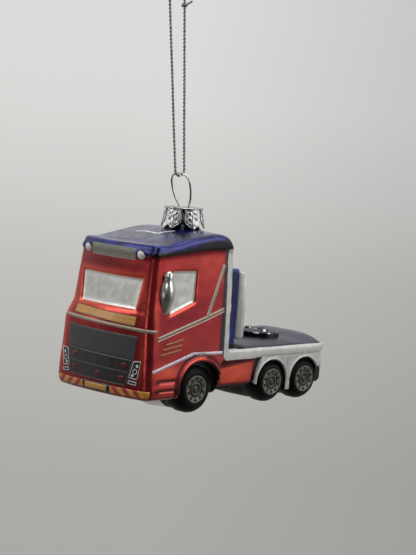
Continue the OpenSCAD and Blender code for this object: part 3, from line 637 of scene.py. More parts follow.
zoneEdges = [
    roofEdge, eaveEdge,
    lambda co: insideBy(screenOutline, co.y, co.z) if co.x > 25 else -5,
    lambda co: insideBy(windowOutline, co.x, co.z) if abs(co.y) > 15 and co.x > 5 else -5,
    lambda co: co.x - gapEdge(co.z) if co.z > 18.1 else 5,
    lambda co: co.z - 20.4 if -4.1 < co.x < -0.5 else 5,
    lambda co: co.x - panelEdge(co.z) if co.z > 18.1 else 5,
    lambda co: co.x - panelRear if co.z > 21 else 5,
    lambda co: abs(co.y) - blockHalf if -8.3 < co.x < panelFront and co.z > 21 else 5,
    lambda co: co.z - blockZ if -8.3 < co.x < panelFront else 5,
    lambda co: abs(co.y) - railHalf if co.x < -8.1 and co.z > deckZ else -5,
    lambda co: co.x - deckEnd - 1.0 if co.z > deckZ else 5,
    lambda co: co.x - footEnd if co.z > deckZ else 5,
    lambda co: co.z - footZ if footEnd < co.x < panelFront else 5,
    lambda co: co.z - sillZ if co.x < -2.6 else 5,
    lambda co: co.z - skirtZ if co.x < -3 else 5,
    lambda co: co.x - cabRear if 5 < co.z < 18.3 else 5,
    lambda co: co.x - skirtEnd(co.z) if 5 < co.z < 20 else 5,
]
# the dull black zone is black paint under the skirt and body, and also painted shade at the blue block's foot
red, blue, maroon, pane, paint, black, deck, flatBlackAndShade = range(8)
zoneLacquers = [redLacquer, blueLacquer, maroonShadeLacquer, frostedSilver, silverPaint, blackLacquer, deckLacquer,
                tyreBlack]


def zoneOf(co, normal):
    x, y, z = co
    if roofEdge(co) > 0 and x > -9:
        return black if eaveEdge(co) < 0 and abs(normal.y) > 0.35 else blue
    if x > (gapEdge(z) if z > sillZ else cabRear):
        onScreen = x > 25 and insideBy(screenOutline, y, z) > 0
        if onScreen or abs(y) > 15 and x > 5 and insideBy(windowOutline, x, z) > 0:
            return pane
        inArch = math.hypot(x - axles[0][0], z - axleZ) < shell["archR"] + 0.45
        if inArch and (abs(y) < 18.9 or abs(normal.y) < 0.75):
            return black
        return black if normal.z < -0.8 and z < 8 and abs(y) < 16 and x < 30 else red
    if z > sillZ:
        # painted shade in the dark gap behind the cab
        if x > panelEdge(z):
            return maroon
        if x > panelRear or z > blockZ:
            return blue if abs(y) < blockHalf and z < blockZ and x < panelFront else paint
        if z > deckZ and abs(y) < railHalf and x > deckEnd + 1.0:
            # the deck at the blue block's foot is painted shade, in dull black
            return deck if x < footEnd else flatBlackAndShade if z < footZ else blue
        return paint
    if z < skirtZ or abs(y) < 17.2:
        return flatBlackAndShade
    # behind the skirt the hull side is painted shade, in maroon
    return maroon if x < skirtEnd(z) else red


# lacquer sprayed thinner or thicker, with painted highlights and painted shade among the spots: place along or across,
# up, reach along or across, up, thinner and lighter (+) or thicker and darker (-)
sprayedAndLit = {"side": [(0.0, 53.0, 16.0, 4.0, 0.3), (2.0, 45.0, 5.0, 9.0, 0.12), (16.0, 34.5, 8.0, 3.5, -0.3),
                    (23.5, 16.0, 7.0, 3.0, 0.8), (-12.0, 13.5, 13.0, 7.0, 1.0), (14.0, 58.6, 22.0, 2.0, -0.35),
                    (29.5, 36.0, 1.4, 11.0, 0.45), (24.0, 8.3, 8.0, 1.2, 0.6), (24.0, 11.3, 8.0, 0.8, 0.5),
                    (4.0, 26.0, 14.0, 7.0, 0.12)],
           "front": [(0.0, 51.5, 17.0, 2.0, -0.6), (0.0, 16.0, 16.0, 7.0, -0.6), (18.7, 20.0, 1.4, 9.0, 0.6),
                     (-18.7, 20.0, 1.4, 9.0, 0.6), (18.0, 37.0, 1.6, 9.0, 0.45), (-18.0, 37.0, 1.6, 9.0, 0.45)]}
skirtOutline = [(-20.0, 9.7), (-4.3, 9.7), (-3.9, 15.4), (-21.4, 17.4)]  # painted shade darkens the red along the skirt's borders


def sprayAndLightAt(co, normal):
    seen = "side" if abs(normal.y) > 0.6 else "front" if normal.x > 0.5 else "other"
    a = co.x if seen == "side" else co.y
    return sum(amount * math.exp(-((a - ca) / ra) ** 2 - ((co.z - cz) / rz) ** 2)
               for ca, cz, ra, rz, amount in sprayedAndLit.get(seen, ()))


def makeBody():
    bm = blownShell()
    for field in zoneEdges:
        cutAlong(bm, field)
    bm.normal_update()
    for face in bm.faces:
        face.material_index = zoneOf(face.calc_center_median(), face.normal)
    pool = bm.verts.layers.float.new("pool")
    for vert in bm.verts:  # lacquer gathers in hollows and thins over edges, with painted shade in the hollows and painted highlights on the edges
        around = [e.other_vert(vert).co for e in vert.link_edges]
        hollow = sum((p - vert.co).dot(vert.normal) / max((p - vert.co).length, 0.05) for p in around) / len(around)
        vert[pool] = hollow * 7
    for _ in range(4):
        fresh = {v: (v[pool] + sum(e.other_vert(v)[pool] for e in v.link_edges)) / (1 + len(v.link_edges))
                 for v in bm.verts}
        for vert, value in fresh.items():
            vert[pool] = value
    thin = bm.verts.layers.float.new("thin")
    for vert in bm.verts:
        x, y, z = vert.co
        sprayAndLight = sprayAndLightAt(vert.co, vert.normal)
        thinAndLit = max(0.0, -0.6 * vert[pool] - 0.1, sprayAndLight)
        # the deck lightens towards its back: a painted sheen
        if z > deckZ and x < footEnd:
            thinAndLit = max(thinAndLit, 0.5 * smooth01((-44 - x) / 10))
        # the rims round the windscreen and side windows are lightened: painted highlights on their lips
        if x > 25:
            thinAndLit = max(thinAndLit, 0.85 * math.exp(-(insideBy(screenOutline, y, z) / 1.5) ** 2))
        if abs(y) > 15 and x > 5:
            thinAndLit = max(thinAndLit, 0.8 * math.exp(-(insideBy(windowOutline, x, z) / 0.9) ** 2))
        # the grooves, and the borders of the skirt, are darkened: painted shade
        grooveShade = grooveAt(x, z, 0.7) if abs(vert.normal.y) > 0.3 and abs(y) > 15 and x > -3 else 0
        if -23 < x < -2.7 and 8 < z < 18.2 and abs(vert.normal.y) > 0.5:
            grooveShade = 0.95 * (1 - smooth01((insideBy(skirtOutline, x, z) + 0.4) / 1.1))
        vert[thin] = min(1.0, thinAndLit) * (1 - grooveShade)
        above = roofEdge(vert.co)
        eave = 0
        if above > -0.3 and x > -9 and abs(vert.normal.y) > 0.4:
            eave = smooth01((eaveDeep(x) * 1.6 - above) / 1.1)
        under = smooth01((8.3 - z) / 0.8) * (x > -3)
        vert[pool] = min(1.0, max(0.0, vert[pool], eave, -sprayAndLight, under, grooveShade))
    tree = BVHTree.FromBMesh(bm)
    print("shell fused:", len(bm.faces), "faces")
    finishPiece("blownBody", bm, zoneLacquers, replaced="glass_body")
    return tree


bodyTree = makeBody()

# wheel rolls, moulded in one with the body: black tyres at the ends, bare silver between the front ones

wheels = {"holes": 10, "holeR": 0.62, "holeRing": 3.85, "bareHalf": 9.0,
          "disc": [(0.0, 19.95), (0.9, 19.93), (1.15, 19.8), (1.6, 19.78), (1.8, 19.92), (2.45, 19.9), (2.6, 19.76),
                   (3.0, 19.76), (3.15, 19.9), (4.35, 19.96), (4.7, 20.12), (4.85, 20.05), (4.87, 19.5)]}


def spinRound(bm, outline, centre, axis, steps=64):  # outline points in place, turned once round the axis
    verts = [bm.verts.new(p) for p in outline]
    edges = [bm.edges.new(pair) for pair in zip(verts, verts[1:])]
    bmesh.ops.spin(bm, geom=verts + edges, cent=centre, axis=axis, dvec=(0, 0, 0), angle=2 * math.pi, steps=steps,
                   use_merge=True)


def closeSpin(bm, dist=0.005):
    bmesh.ops.remove_doubles(bm, verts=bm.verts, dist=dist)
    faceOut(bm)


def makeRolls():
    bm = bmesh.new()
    for x, tyreR in axles:
        half = [(0.0, 19.55), (4.6, 19.55), (4.95, 19.8), (5.3, 20.0), (6.0, 19.85), (tyreR - 1.6, 19.3),
                (tyreR - 0.8, 18.6), (tyreR - 0.25, 17.6), (tyreR, 16.6), (tyreR, 13.6), (tyreR - 0.35, 12.6),
                (tyreR - 0.6, 11.4), (tyreR - 0.4, 9.0), (tyreR + (0.5 if x > 0 else -0.2), 0.0)]
        whole = half + [(r, -y) for r, y in half[-2::-1]]
        spinRound(bm, [(x, y, axleZ + r) for r, y in whole], (x, 0, axleZ), (0, 1, 0), 72)
    closeSpin(bm)
    for face in bm.faces:
        centre = face.calc_center_median()
        face.material_index = 1 if abs(centre.y) < wheels["bareHalf"] and centre.x > -10 else 0
    markSharp(bm, 50)
    finishPiece("wheelRolls", bm, [tyreBlack, bareSilver])


def makeHubs():
    bm = bmesh.new()
    sides = [(x, side) for x, tyreR in axles for side in (-1, 1)]
    for x, side in sides:
        spinRound(bm, [(x, side * y, axleZ + r) for r, y in wheels["disc"]], (x, 0, axleZ), (0, 1, 0), 60)
    closeSpin(bm)
    for face in bm.faces:
        centre = face.calc_center_median()
        x = min((a[0] for a in axles), key=lambda a: abs(a - centre.x))
        r = math.hypot(centre.x - x, centre.z - axleZ)
        face.material_index = 1 if 1.0 < r < 1.7 or 2.5 < r < 3.08 or r > 4.86 else 2 if r < 2.5 else 0
        if face.normal.y * centre.y < 0 and r < 4.8:
            face.normal_flip()
    for x, side in sides:
        for i in range(wheels["holes"]):
            angle = 2 * math.pi * (i + 0.5) / wheels["holes"]
            place = Matrix.Translation((x + wheels["holeRing"] * math.cos(angle), side * 19.97,
                                        axleZ + wheels["holeRing"] * math.sin(angle)))
            hole = bmesh.ops.create_circle(bm, cap_ends=True, radius=wheels["holeR"], segments=14,
                                           matrix=place @ Matrix.Rotation(-side * math.pi / 2, 4, "X"))["verts"]
            for face in {f for v in hole for f in v.link_faces}:
                face.material_index = 1
                if face.normal.y * side < 0:
                    face.normal_flip()
    markSharp(bm, 60)
    finishPiece("hubPrints", bm, [hubInk, blackLacquer, hubShade], "hub_prints")


makeRolls()
makeHubs()

# front arches: a raised lip round each opening

arch = {"lipIn": 10.15, "lipOut": 11.6, "firstDeg": -4, "lastDeg": 152}


def makeArches():
    bm = bmesh.new()
    x0, inR, outR = axles[0][0], arch["lipIn"], arch["lipOut"]
    first, last = math.radians(arch["firstDeg"]), math.radians(arch["lastDeg"])
    section = [(inR, 20.6), (inR, 21.8), (inR + 0.25, 22.15), (inR + 0.75, 22.3), (outR - 0.35, 22.2), (outR, 21.8),
               (outR + 0.1, 21.0)]
    for side in (-1, 1):
        verts = [bm.verts.new((x0 + r * math.cos(first), side * y, axleZ + r * math.sin(first))) for r, y in section]
        edges = [bm.edges.new(pair) for pair in zip(verts, verts[1:])]
        bmesh.ops.spin(bm, geom=verts + edges, cent=(x0, 0, axleZ), axis=(0, -1, 0), dvec=(0, 0, 0),
                       angle=last - first, steps=40)
    for vert in bm.verts:  # the flank leans in towards the top
        vert.co.y -= math.copysign(max(0.0, vert.co.z - 10) * 0.07, vert.co.y)
        if vert.co.z < 7.3:
            vert.co.z = 7.3 + (vert.co.z - 7.3) * 0.1
    faceOut(bm)
    for face in bm.faces:
        centre = face.calc_center_median()
        if abs(face.normal.y) > 0.4 and face.normal.y * centre.y < 0:
            face.normal_flip()
    pool, thin = bm.verts.layers.float.new("pool"), bm.verts.layers.float.new("thin")
    for vert in bm.verts:  # painted highlight over the top, painted shade at both ends
        degrees = math.degrees(math.atan2(vert.co.z - axleZ, vert.co.x - x0))
        vert[pool] = max(0.85 * smooth01((32 - degrees) / 24), smooth01((degrees - 100) / 30))
        vert[thin] = 0.7 * smooth01((degrees - 25) / 20) * smooth01((115 - degrees) / 25)
    finishPiece("archLips", bm, [redLacquer], solid=0.4)


makeArches()

# rear fenders: one silver pressing over both tyres, with rolled rims and a strut between

fender = {"rear": -60.2, "inR": 8.1, "inner": 15.0, "face": 19.6, "strutZ": 5.1, "rearDeg": 150}


def arc(cx, radius, start, end, count=20):
    turns = [math.radians(start + (end - start) * i / count) for i in range(count + 1)]
    return [(cx + radius * math.cos(t), axleZ + radius * math.sin(t)) for t in turns]


def makeFenders():
    ahead, behind = axles[1][0], axles[2][0]
    middle = (ahead + behind) / 2
    rear, inR, strutZ = fender["rear"], fender["inR"], fender["strutZ"]
    outline = [(ahead + 8.6, 8.8), (ahead + 7.8, 12.8), (ahead + 5.8, 18.6), (rear + 1.2, 18.6), (rear + 0.1, 16.0),
               (rear + 0.2, 12.6), (rear + 1.0, 12.8)] + arc(behind, inR, 148, 12)
    outline += [(middle - 0.85, 9.5), (middle - 0.75, strutZ), (middle + 0.75, strutZ), (middle + 0.85, 9.5)]
    outline += arc(ahead, inR, 168, -1)
    bm = bmesh.new()
    for side in (-1, 1):
        prism(bm, outline, side * fender["inner"], side * fender["face"])
    faceOut(bm)
    fronts = [f for f in bm.faces if abs(f.normal.y) > 0.9 and abs(f.calc_center_median().y) > 19]
    edges = list({e for f in fronts for e in f.edges})
    bmesh.ops.bevel(bm, geom=edges, offset=0.35, segments=3, profile=0.5, affect="EDGES", material=-1)
    for face in bm.faces:  # black inside the arches and on the strut's flanks
        centre = face.calc_center_median()
        near = min(math.hypot(centre.x - x, centre.z - axleZ) for x in (ahead, behind))
        flank = abs(centre.x - middle) < 1.0 and centre.z < 10
        face.material_index = 1 if abs(centre.y) < 19.2 and (near < inR + 0.2 or flank) else 0
    for y in (-19.5, 19.5):
        for centre, start, end in ((ahead, -2, 176), (behind, 4, fender["rearDeg"])):
            path = [Vector((x, y, z)) for x, z in arc(centre, inR + 0.5, start, end, 36)]
            mergeInto(bm, sweep(path, [(u * 1.15, v) for u, v in ringSection(0.5, count=14)]))
        for x in (middle - 0.55, middle + 0.55):
            mergeInto(bm, sweep([Vector((x, y, z)) for z in (5.4, 8, 11, 14, 17.6)], ringSection(0.42, count=12)))
    markSharp(bm, 40)
    finishPiece("rearFenders", bm, [silverPaint, tyreBlack])
    bm = bmesh.new()  # the dark hollow under each fender, and a mudflap behind it
    flap = [(rear + 2.4, 13.5), (rear + 0.3, 13.8), (rear - 0.4, 11.5), (rear - 0.3, 8.0), (rear + 1.4, 6.8),
            (rear + 2.4, 8.0)]
    for side in (-1, 1):
        prism(bm, arc(ahead, inR + 0.15, 0, 180) + arc(behind, inR + 0.15, 0, 205), side * 14.0, side * 18.0)
        prism(bm, flap, side * 14.0, side * 18.6)
    faceOut(bm)
    markSharp(bm, 40)
    finishPiece("fenderHollows", bm, [blackLacquer])


makeFenders()

# stacks behind the cab and mirrors beside the windows, moulded with the body

stack = {"x": -14.6, "y": 17.6, "low": 24.9, "high": 49.4, "r": 1.7}
mirror = {"x": 24.9, "y": 19.8, "wide": 0.9, "fuller": 1.14, "taller": 1.08, "lean": -0.05,
          "outline": [(0.02, 36.3), (0.8, 36.5), (1.25, 37.2), (1.55, 38.3), (2.1, 39.7), (2.55, 41.4), (2.68, 43.1),
                      (2.5, 44.8), (2.05, 46.1), (1.75, 46.9), (1.7, 47.6), (1.72, 48.5), (1.5, 49.5), (0.9, 50.1),
                      (0.02, 50.3)]}


def makeStacks():
    bm = bmesh.new()
    x, r, low, high = stack["x"], stack["r"], stack["low"], stack["high"]
    rod = [(0, low)] + [(r * math.sin(a), low + r - r * math.cos(a)) for a in (0.5, 1.0, 1.3)]
    rod += [(r, low + 2), (r * 0.97, 36), (r * 0.95, high - 0.5), (r * 0.8, high - 0.1), (r * 0.6, high),
            (0, high + 0.02)]
    for y in (-stack["y"], stack["y"]):
        spinRound(bm, [(x + a, y, z) for a, z in rod], (x, y, 0), (0, 0, 1), 28)
    closeSpin(bm)
    for vert in bm.verts:  # sloped top ends
        if vert.co.z > high - 1:
            vert.co.z += (vert.co.x - x) * 0.18 - 0.2
    finishPiece("stacks", bm, [silverPaint])


def makeMirrors():
    bm = bmesh.new()
    x, fuller, taller = mirror["x"], mirror["fuller"], mirror["taller"]
    for y in (-mirror["y"], mirror["y"]):
        before = set(bm.verts)
        spinRound(bm, [(x + a * fuller, y, 42.8 + (z - 43) * taller) for a, z in mirror["outline"]], (x, y, 0),
                  (0, 0, 1), 36)
        fresh = [v for v in bm.verts if v not in before]
        bmesh.ops.scale(bm, vec=(1, mirror["wide"], 1), verts=fresh, space=Matrix.Translation((0, -y, 0)))
    closeSpin(bm)
    for vert in bm.verts:
        vert.co.x += (vert.co.z - 43) * mirror["lean"]
        vert.co += Vector((1, 1, 0.4)) * 0.12 * noise.noise(vert.co * 0.4)
    finishPiece("mirrors", bm, [bareSilver])


makeStacks()
makeMirrors()

# coupling plate on the deck, with its throat open to the back

coupling = {"x": -44.0, "r": 8.4, "z": 21.8, "high": 3.5, "dome": 0.5, "throatDeg": 157}


def makeCoupling():
    bm = bmesh.new()
    r, x0, z, high = coupling["r"], coupling["x"], coupling["z"], coupling["high"]
    half = math.radians(coupling["throatDeg"])
    outline = [(x0 + r * math.cos(t), r * math.sin(t)) for t in [-half + 2 * half * i / 40 for i in range(41)]]
    outline += [(x0 - 1.2, 1.1), (x0 + 0.3, 1.5), (x0 + 1.5, 0.8), (x0 + 1.5, -0.8), (x0 + 0.3, -1.5),
                (x0 - 1.2, -1.1)]
    face = bm.faces.new([bm.verts.new((x, y, z)) for x, y in outline])
    bmesh.ops.translate(bm, vec=(0, 0, high), verts=extrude(bm, face, True).verts)
    faceOut(bm)
    top = max(bm.faces, key=lambda f: f.calc_center_median().z)
    bmesh.ops.bevel(bm, geom=list(top.edges), offset=0.5, segments=4, profile=0.5, affect="EDGES", material=-1)
    for y in (-4.2, 4.2):
        bmesh.ops.create_cone(bm, cap_ends=True, segments=28, radius1=1.7, radius2=1.2, depth=0.6,
                              matrix=Matrix.Translation((x0 + 0.6, y, z + high + 0.1)))
    for face in bm.faces:  # grey on top, black round the rim, with painted glints of bare silver
        centre = face.calc_center_median()
        around = math.degrees(math.atan2(abs(centre.y), centre.x - x0))
        glint = any(abs(around - at) < 5 for at in (40, 72, 108)) and centre.z > z + 1.6
        face.material_index = 1 if face.normal.z > 0.8 else 2 if glint else 0
    for vert in bm.verts:
        vert.co.z -= coupling["dome"] * (math.hypot(vert.co.x - x0, vert.co.y) / r) ** 2
    markSharp(bm, 45)
    finishPiece("couplingPlate", bm, [blackLacquer, deckLacquer, bareSilver], "fifth_wheel")


makeCoupling()

# neck of the blown bottle, under the cap

neck = {"r": 5.6, "wall": 1.2, "high": 70.1}


def makeNeck():
    bm = bmesh.new()
    r, inner, high = neck["r"], neck["r"] - neck["wall"], neck["high"]
    outline = [(7.4, 62.6), (6.4, 63.4), (5.8, 64.2), (r, 65.2), (r, high - 0.3), (r - 0.4, high), (inner, high - 0.2),
               (inner, 62.0)]
    spinRound(bm, [(a, 0, z) for a, z in outline], (0, 0, 0), (0, 0, 1), 64)
    closeSpin(bm)
    pool = bm.verts.layers.float.new("pool")
    # the whole neck is darkened: painted shade under the cap
    for vert in bm.verts:
        vert[pool] = 0.85
    finishPiece("neck", bm, [blueLacquer])


makeNeck()
print("wheels, arches, fenders, stacks, mirrors, coupling and neck made")

# prints: each is a patch in the front or side view, laid onto the glass

corner = {"flat": 18.0, "r": 3.0, "cx": 31.6}


def frontSpot(u, z):  # a place on the front, measured across from the middle; it runs round the corner onto the side
    u *= 1 - shell["twist"] * lowFront(z)
    side = math.copysign(1, u)
    past = abs(u) - corner["flat"]
    if past <= 0:
        start, aim = Vector((60, u, z)), Vector((-1, 0, 0))
    else:
        turn = min(past / corner["r"], math.pi / 2)
        aim = Vector((-math.cos(turn), -side * math.sin(turn), 0))
        along = corner["cx"] - max(0.0, past - corner["r"] * math.pi / 2)
        start = Vector((along, side * corner["flat"], z)) - aim * 30
    return bodyTree.ray_cast(start, aim)


def sideSpot(side):
    return lambda x, z: bodyTree.ray_cast(Vector((x, side * 60, z)), Vector((0, -side, 0)))


def layPatch(bm, spot, corners, lift=0.06, spacing=0.6, index=0):  # a four-cornered patch bent onto the glass
    a, b, c, d = [Vector(p) for p in corners]
    across = max(1, math.ceil(max((b - a).length, (c - d).length) / spacing))
    up = max(1, math.ceil(max((d - a).length, (c - b).length) / spacing))
    grid = bmesh.ops.create_grid(bm, x_segments=across, y_segments=up, size=0.5)["verts"]
    for vert in grid:
        s, t = vert.co.x + 0.5, vert.co.y + 0.5
        flat = (a * (1 - s) + b * s) * (1 - t) + (d * (1 - s) + c * s) * t
        hit, normal, _, _ = spot(flat.x, flat.y)
        vert.co = hit + normal * lift
    faces = {f for v in grid for f in v.link_faces}
    for face in faces:
        face.material_index = index
        normal = bodyTree.find_nearest(face.calc_center_median())[1]
        face.normal_update()
        if face.normal.dot(normal) < 0:
            face.normal_flip()


def layStrip(bm, spot, points, width, lift=0.06, index=0, spacing=0.6):  # a line of even width through the points
    points = [Vector(p) for p in points]
    for a, b in zip(points, points[1:]):
        across = Vector((a.y - b.y, b.x - a.x)).normalized() * width / 2
        layPatch(bm, spot, (a - across, b - across, b + across, a + across), lift, spacing, index)


def rect(u0, z0, u1, z1):
    return (u0, z0), (u1, z0), (u1, z1), (u0, z1)


def frontPrint(name, inks, node, patches, lines=()):
    # patches are corners, lift, ink; lines are points, width, lift and, if finer, spacing
    bm = bmesh.new()
    for corners, lift, ink in patches:
        layPatch(bm, frontSpot, corners, lift, index=ink)
    for points, width, lift, *spacing in lines:
        layStrip(bm, frontSpot, points, width, lift, 1, *spacing)
    finishPiece(name, bm, inks, node, 0.1)


marker = {"across": 13.4, "up": 55.3, "sunk": 0.15, "lensR": 1.64,
          "dome": [(1.95, -0.1), (1.9, 0.25), (1.72, 0.3), (1.62, 0.25), (1.5, 0.5), (1.1, 0.85), (0.55, 1.02),
                   (0.0, 1.06)]}


def makeMarkerLamps():
    bm = bmesh.new()
    spots = {side: frontSpot(side * marker["across"], marker["up"])[:2] for side in (-1, 1)}
    for hit, normal in spots.values():
        turn = normal.to_track_quat("Z", "Y").to_matrix().to_4x4()
        before = set(bm.verts)
        spinRound(bm, [(r, 0, h) for r, h in marker["dome"]], (0, 0, 0), (0, 0, 1), 36)
        fresh = [v for v in bm.verts if v not in before]
        bmesh.ops.transform(bm, matrix=Matrix.Translation(hit - normal * marker["sunk"]) @ turn, verts=fresh)
    closeSpin(bm, 0.002)
    for face in bm.faces:
        centre = face.calc_center_median()
        if face.normal.x < -0.2:
            face.normal_flip()
        hit, normal = spots[math.copysign(1, centre.y)]
        flat = (centre - hit) - normal * (centre - hit).dot(normal)
        face.material_index = 1 if flat.length > marker["lensR"] else 0
    finishPiece("markerLamps", bm, [lampWhite, blackLacquer], "marker_lamps")


def makeFrontPrints():
    border = [((-10.9, 53.5), (10.9, 53.5)), ((-10.9, 57.2), (10.9, 57.2)), ((-10.85, 53.5), (-10.85, 57.2)),
              ((10.85, 53.5), (10.85, 57.2))]
    frontPrint("roofSign", [signInk, signEdge], "roof_sign",
               [(rect(-10.95, 53.4, 10.95, 57.3), 0.1, 0)], [(line, 0.22, 0.14) for line in border])
    makeMarkerLamps()
    board = [(-15.2, 32.7), (15.9, 31.35), (15.65, 34.65), (-14.95, 35.65)]
    frontPrint("bannerBoard", [bannerInk, bannerEdge], "banner_board", [(board, 0.06, 0)],
               [(board + board[:1], 0.2, 0.1)])
    stripe = (-25.2, 31.15), (27.4, 29.45), (27.4, 30.65), (-25.2, 32.35)
    frontPrint("waistStripe", [tanInk], "waist_stripe", [(stripe, 0.05, 0)])
    mesh = (-16.6, 20.8), (17.0, 20.0), (17.6, 28.1), (-17.3, 28.7)
    frontPrint("meshGrille", [meshInk], "grille_mesh", [(mesh, 0.05, 0)])
    grille = (-14.4, 11.2), (14.4, 10.8), (16.7, 20.0), (-16.5, 20.8)
    embers = [rect(u - 1.2, z - 0.9, u + 1.2, z + 0.9)
              for u, z in ((-12.4, 18.4), (12.8, 17.7), (-12.0, 13.8), (0.6, 13.2), (12.2, 13.2))]
    bars = [((-14.2, 11.4), (14.2, 11.0)), ((-15.3, 16.1), (15.4, 15.5)), ((-14.2, 11.4), (-16.3, 20.6)),
            ((14.2, 11.0), (16.5, 19.8))]
    frontPrint("lowerGrille", [grilleInk, frameInk, emberInk], "lower_grille",
               [(grille, 0.05, 0)] + [(ember, 0.08, 2) for ember in embers], [(bar, 0.4, 0.09) for bar in bars])
    patches, lines = [], []
    lamp = [(15.5, 13.9), (19.0, 13.6), (20.0, 19.9), (17.0, 19.6)]
    signal = [(14.9, 11.5), (19.1, 11.2), (19.2, 13.0), (15.2, 13.3)]
    signalRim = [(15.3, 11.9), (18.7, 11.6), (18.8, 12.5), (15.5, 12.8)]
    for s in (-1, 1):
        patches += [([(s * u, z) for u, z in shape], 0.05, 0) for shape in (lamp, signal)]
        lines += [([(s * u, z) for u, z in shape + shape[:1]], 0.2, 0.09) for shape in (lamp, signalRim)]
        for u, z, r in ((18.6, 18.1, 0.42), (17.9, 16.2, 0.85), (17.0, 14.7, 0.4)):
            ring = [(s * (u + r * math.cos(a)), z + r * math.sin(a)) for a in [math.pi * k / 6 for k in range(13)]]
            lines.append((ring, 0.24, 0.09, 0.3))
            if r < 0.5:
                patches.append((rect(s * (u - r * 0.6), z - r * 0.6, s * (u + r * 0.6), z + r * 0.6), 0.09, 1))
    frontPrint("headlampPair", [lampBlack, lampWhite], "headlamps", patches, lines)
    patches = []
    low, high, pitch, slant = 7.3, 9.9, 4.7, 2.3
    for s, end in ((-1, 22.0), (1, 24.6)):
        patches.append((rect(s * 6.7, low, s * end, high), 0.05, 0))
        u = 7.6
        while u + slant + pitch / 2 < end:
            bar = (u + slant, low), (u + slant + pitch / 2, low), (u + pitch / 2, high), (u, high)
            patches.append(([(s * a, z) for a, z in bar], 0.08, 1))
            u += pitch
    frontPrint("hazardBars", [hazardYellow, hazardRed], "hazard_stripes", patches)
    frontPrint("numberPlate", [lampBlack, bannerInk], "number_plate",
               [(rect(-7.0, 7.2, 7.0, 10.2), 0.07, 0), (rect(-5.6, 7.7, 5.6, 9.7), 0.11, 1)])


def makeSidePrints():
    bm = bmesh.new()
    for s in (-1, 1):
        spot = sideSpot(s)
        for line in ([(28.6, 27.7), (4.5, 34.4)], [(4.5, 34.4), (-3.3, 36.9)], [(4.5, 34.4), (-3.3, 52.2)]):
            layStrip(bm, spot, line, 1.1, 0.05, 0)
        for line in ([(28.7, 26.75), (4.4, 33.45), (-3.3, 35.95)], [(5.35, 34.6), (-2.6, 52.4)]):
            layStrip(bm, spot, line, 0.34, 0.06, 1)
        layStrip(bm, spot, [(30.8, 16.4), (11.6, 21.7), (-3.0, 21.4)], 1.15, 0.05, 2)
    finishPiece("sideStripes", bm, [tanInk, paleLine, lilacInk], "side_stripes", 0.1)
    bm = bmesh.new()
    for s in (-1, 1):
        for line in ([(24.9, 25.5), (16.0, 27.0)], [(26.2, 23.8), (16.8, 25.1)], [(27.3, 22.0), (17.5, 23.4)]):
            layStrip(bm, sideSpot(s), line, 0.6, 0.05)
    finishPiece("louvreBars", bm, [goldInk], "louvre_bars", 0.1)


def makeRoofHighlight():  # a painted highlight: a pale line on the roof ahead of the cap, where its crease catches the light
    bm = bmesh.new()
    spot = lambda x, y: bodyTree.ray_cast(Vector((x, y, 90)), Vector((0, 0, -1)))
    layStrip(bm, spot, [(14.8, -8.6), (13.4, -5.0), (13.6, -1.5), (14.4, 2.5), (11.2, 1.9), (7.2, 3.4)], 1.2)
    finishPiece("roofHighlightLine", bm, [lampWhite], solid=0.1)


makeFrontPrints()
makeSidePrints()
makeRoofHighlight()
print("prints laid")

# studio: a pale bowl under and behind the ornament, and soft lamps; reflections see its camera side unlit

studio = {"floor": -0.34, "flatR": 0.8, "bendR": 0.6, "wallHigh": 1.6, "faceDeg": 45.0, "air": ("#d8d8d6", 0.45),
          "shadedPaper": [(0.1, "#a9a8a4"), (0.24, "#adaca8"), (0.42, "#bab9b5"), (0.52, "#c1c0bc"), (0.66, "#d0cfcd"),
                    (0.8, "#dadad8"), (0.95, "#dcdcda")],
          "unlit": [(0.3, "#ffffff"), (0.5, "#e8e8e8"), (0.72, "#7c7c7c"), (1.0, "#505050")],
          "aim": (-0.01, 0.0, -0.12),
          "lamps": [  # name, place, power, size
              ("rightSoftbox", (-0.55, 0.8, 0.3), 3.4, 0.7), ("leftSoftbox", (0.8, -0.5, 0.35), 2.6, 0.6),
              ("topSoftbox", (-0.1, 0.1, 0.8), 4.5, 0.8), ("frontSoftbox", (0.65, 0.6, 0.55), 2.0, 0.5),
              ("stripSoftbox", (1.0, 0.33, -0.16), 0.6, 0.4), ("lowSoftbox", (-0.55, 0.8, -0.28), 0.25, 0.5)]}


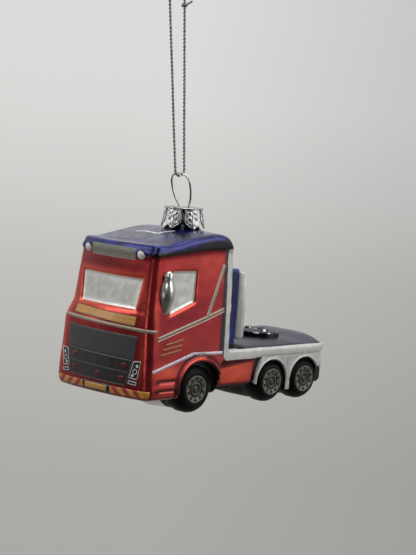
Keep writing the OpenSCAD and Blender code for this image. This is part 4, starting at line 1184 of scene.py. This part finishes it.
def makeStudio():
    material, tree = newMaterial("paleBackdropPaper")
    place = addNode(tree, "TexCoord").outputs["Object"]
    turned = addNode(tree, "VectorRotate", {"rotation_type": "Z_AXIS", "Angle": -math.radians(studio["faceDeg"])},
                     {"Vector": place})
    parts = addNode(tree, "SeparateXYZ", links={"Vector": turned.outputs["Vector"]})
    flat = addNode(tree, "CombineXYZ", links={"X": parts.outputs["X"], "Y": parts.outputs["Y"]})
    reach = addNode(tree, "VectorMath", {"operation": "LENGTH"}, {0: flat.outputs["Vector"]})
    rise = addNode(tree, "Math", {"operation": "MULTIPLY_ADD", 1: 0.3},
                   {0: reach.outputs["Value"], 2: parts.outputs["Z"]})
    # painted shade on the paper: darker low down and close in
    height = addNode(tree, "MapRange", {"From Min": studio["floor"], "From Max": studio["floor"] + 0.9},
                     {"Value": rise.outputs[0]})
    level = addNode(tree, "ValToRGB", {"stops": studio["shadedPaper"]}, {"Fac": height.outputs["Result"]})
    # painted shade: the paper darker towards the right
    aside = addNode(tree, "MapRange", {"From Min": 0.0, "From Max": 0.27, "To Min": 1.0, "To Max": 0.82},
                    {"Value": parts.outputs["Y"]})
    around = addNode(tree, "VectorMath", {"operation": "NORMALIZE"}, {0: turned.outputs["Vector"]})
    ahead = addNode(tree, "SeparateXYZ", links={"Vector": around.outputs["Vector"]})
    facing = addNode(tree, "MapRange", {"From Min": -1.0, "From Max": 1.0}, {"Value": ahead.outputs["X"]})
    dark = addNode(tree, "ValToRGB", {"stops": studio["unlit"]}, {"Fac": facing.outputs["Result"]})
    ray = addNode(tree, "LightPath").outputs
    larger = {"operation": "MAXIMUM"}
    lit = addNode(tree, "Math", larger, {0: ray["Is Camera Ray"], 1: dark.outputs["Color"]}).outputs[0]
    dimmed = addNode(tree, "Math", {"operation": "MULTIPLY"}, {0: lit, 1: aside.outputs["Result"]}).outputs[0]
    tone = addNode(tree, "VectorMath", {"operation": "SCALE"}, {0: level.outputs["Color"], "Scale": dimmed}).outputs[0]
    seen = addNode(tree, "Math", larger, {0: ray["Is Camera Ray"], 1: ray["Is Glossy Ray"]}).outputs[0]
    seenAll = addNode(tree, "Math", larger, {0: seen, 1: ray["Is Transmission Ray"]}).outputs[0]
    shadedPaper = addNode(tree, "BsdfDiffuse", links={"Color": tone})
    glow = addNode(tree, "Emission", {"Strength": 1.0}, {"Color": tone})
    mixed = addNode(tree, "MixShader", links={0: seenAll, 1: shadedPaper.outputs[0], 2: glow.outputs[0]})
    addNode(tree, "OutputMaterial", links={"Surface": mixed.outputs[0]})
    bm = bmesh.new()
    floor, flatR, bendR = studio["floor"], studio["flatR"], studio["bendR"]
    outline = [(0.0, floor), (flatR, floor)]
    outline += [(flatR + bendR * math.sin(a), floor + bendR - bendR * math.cos(a))
                for a in [math.radians(t) for t in range(15, 91, 15)]] + [(flatR + bendR, studio["wallHigh"])]
    spinRound(bm, [(r, 0, z) for r, z in outline], (0, 0, 0), (0, 0, 1))
    closeSpin(bm, 0.0005)
    bmesh.ops.reverse_faces(bm, faces=bm.faces)
    backdrop = smoothObject("backdrop", bm, [material])
    world = bpy.data.worlds.new("studioAir")
    world.use_nodes = True
    bpy.context.scene.world = world
    air = world.node_tree.nodes["Background"].inputs
    air["Color"].default_value, air["Strength"].default_value = hexColor(studio["air"][0]), studio["air"][1]
    aim = Vector(studio["aim"])
    for name, at, power, size in studio["lamps"]:
        lamp = bpy.data.lights.new(name, "AREA")
        lamp.energy, lamp.size = power, size
        thing = linkObject(name, lamp)
        thing.location = at
        thing.rotation_euler = (aim - Vector(at)).to_track_quat("-Z", "Y").to_euler()


makeStudio()
bpy.context.scene.view_settings.view_transform = "Standard"
print("studio set")
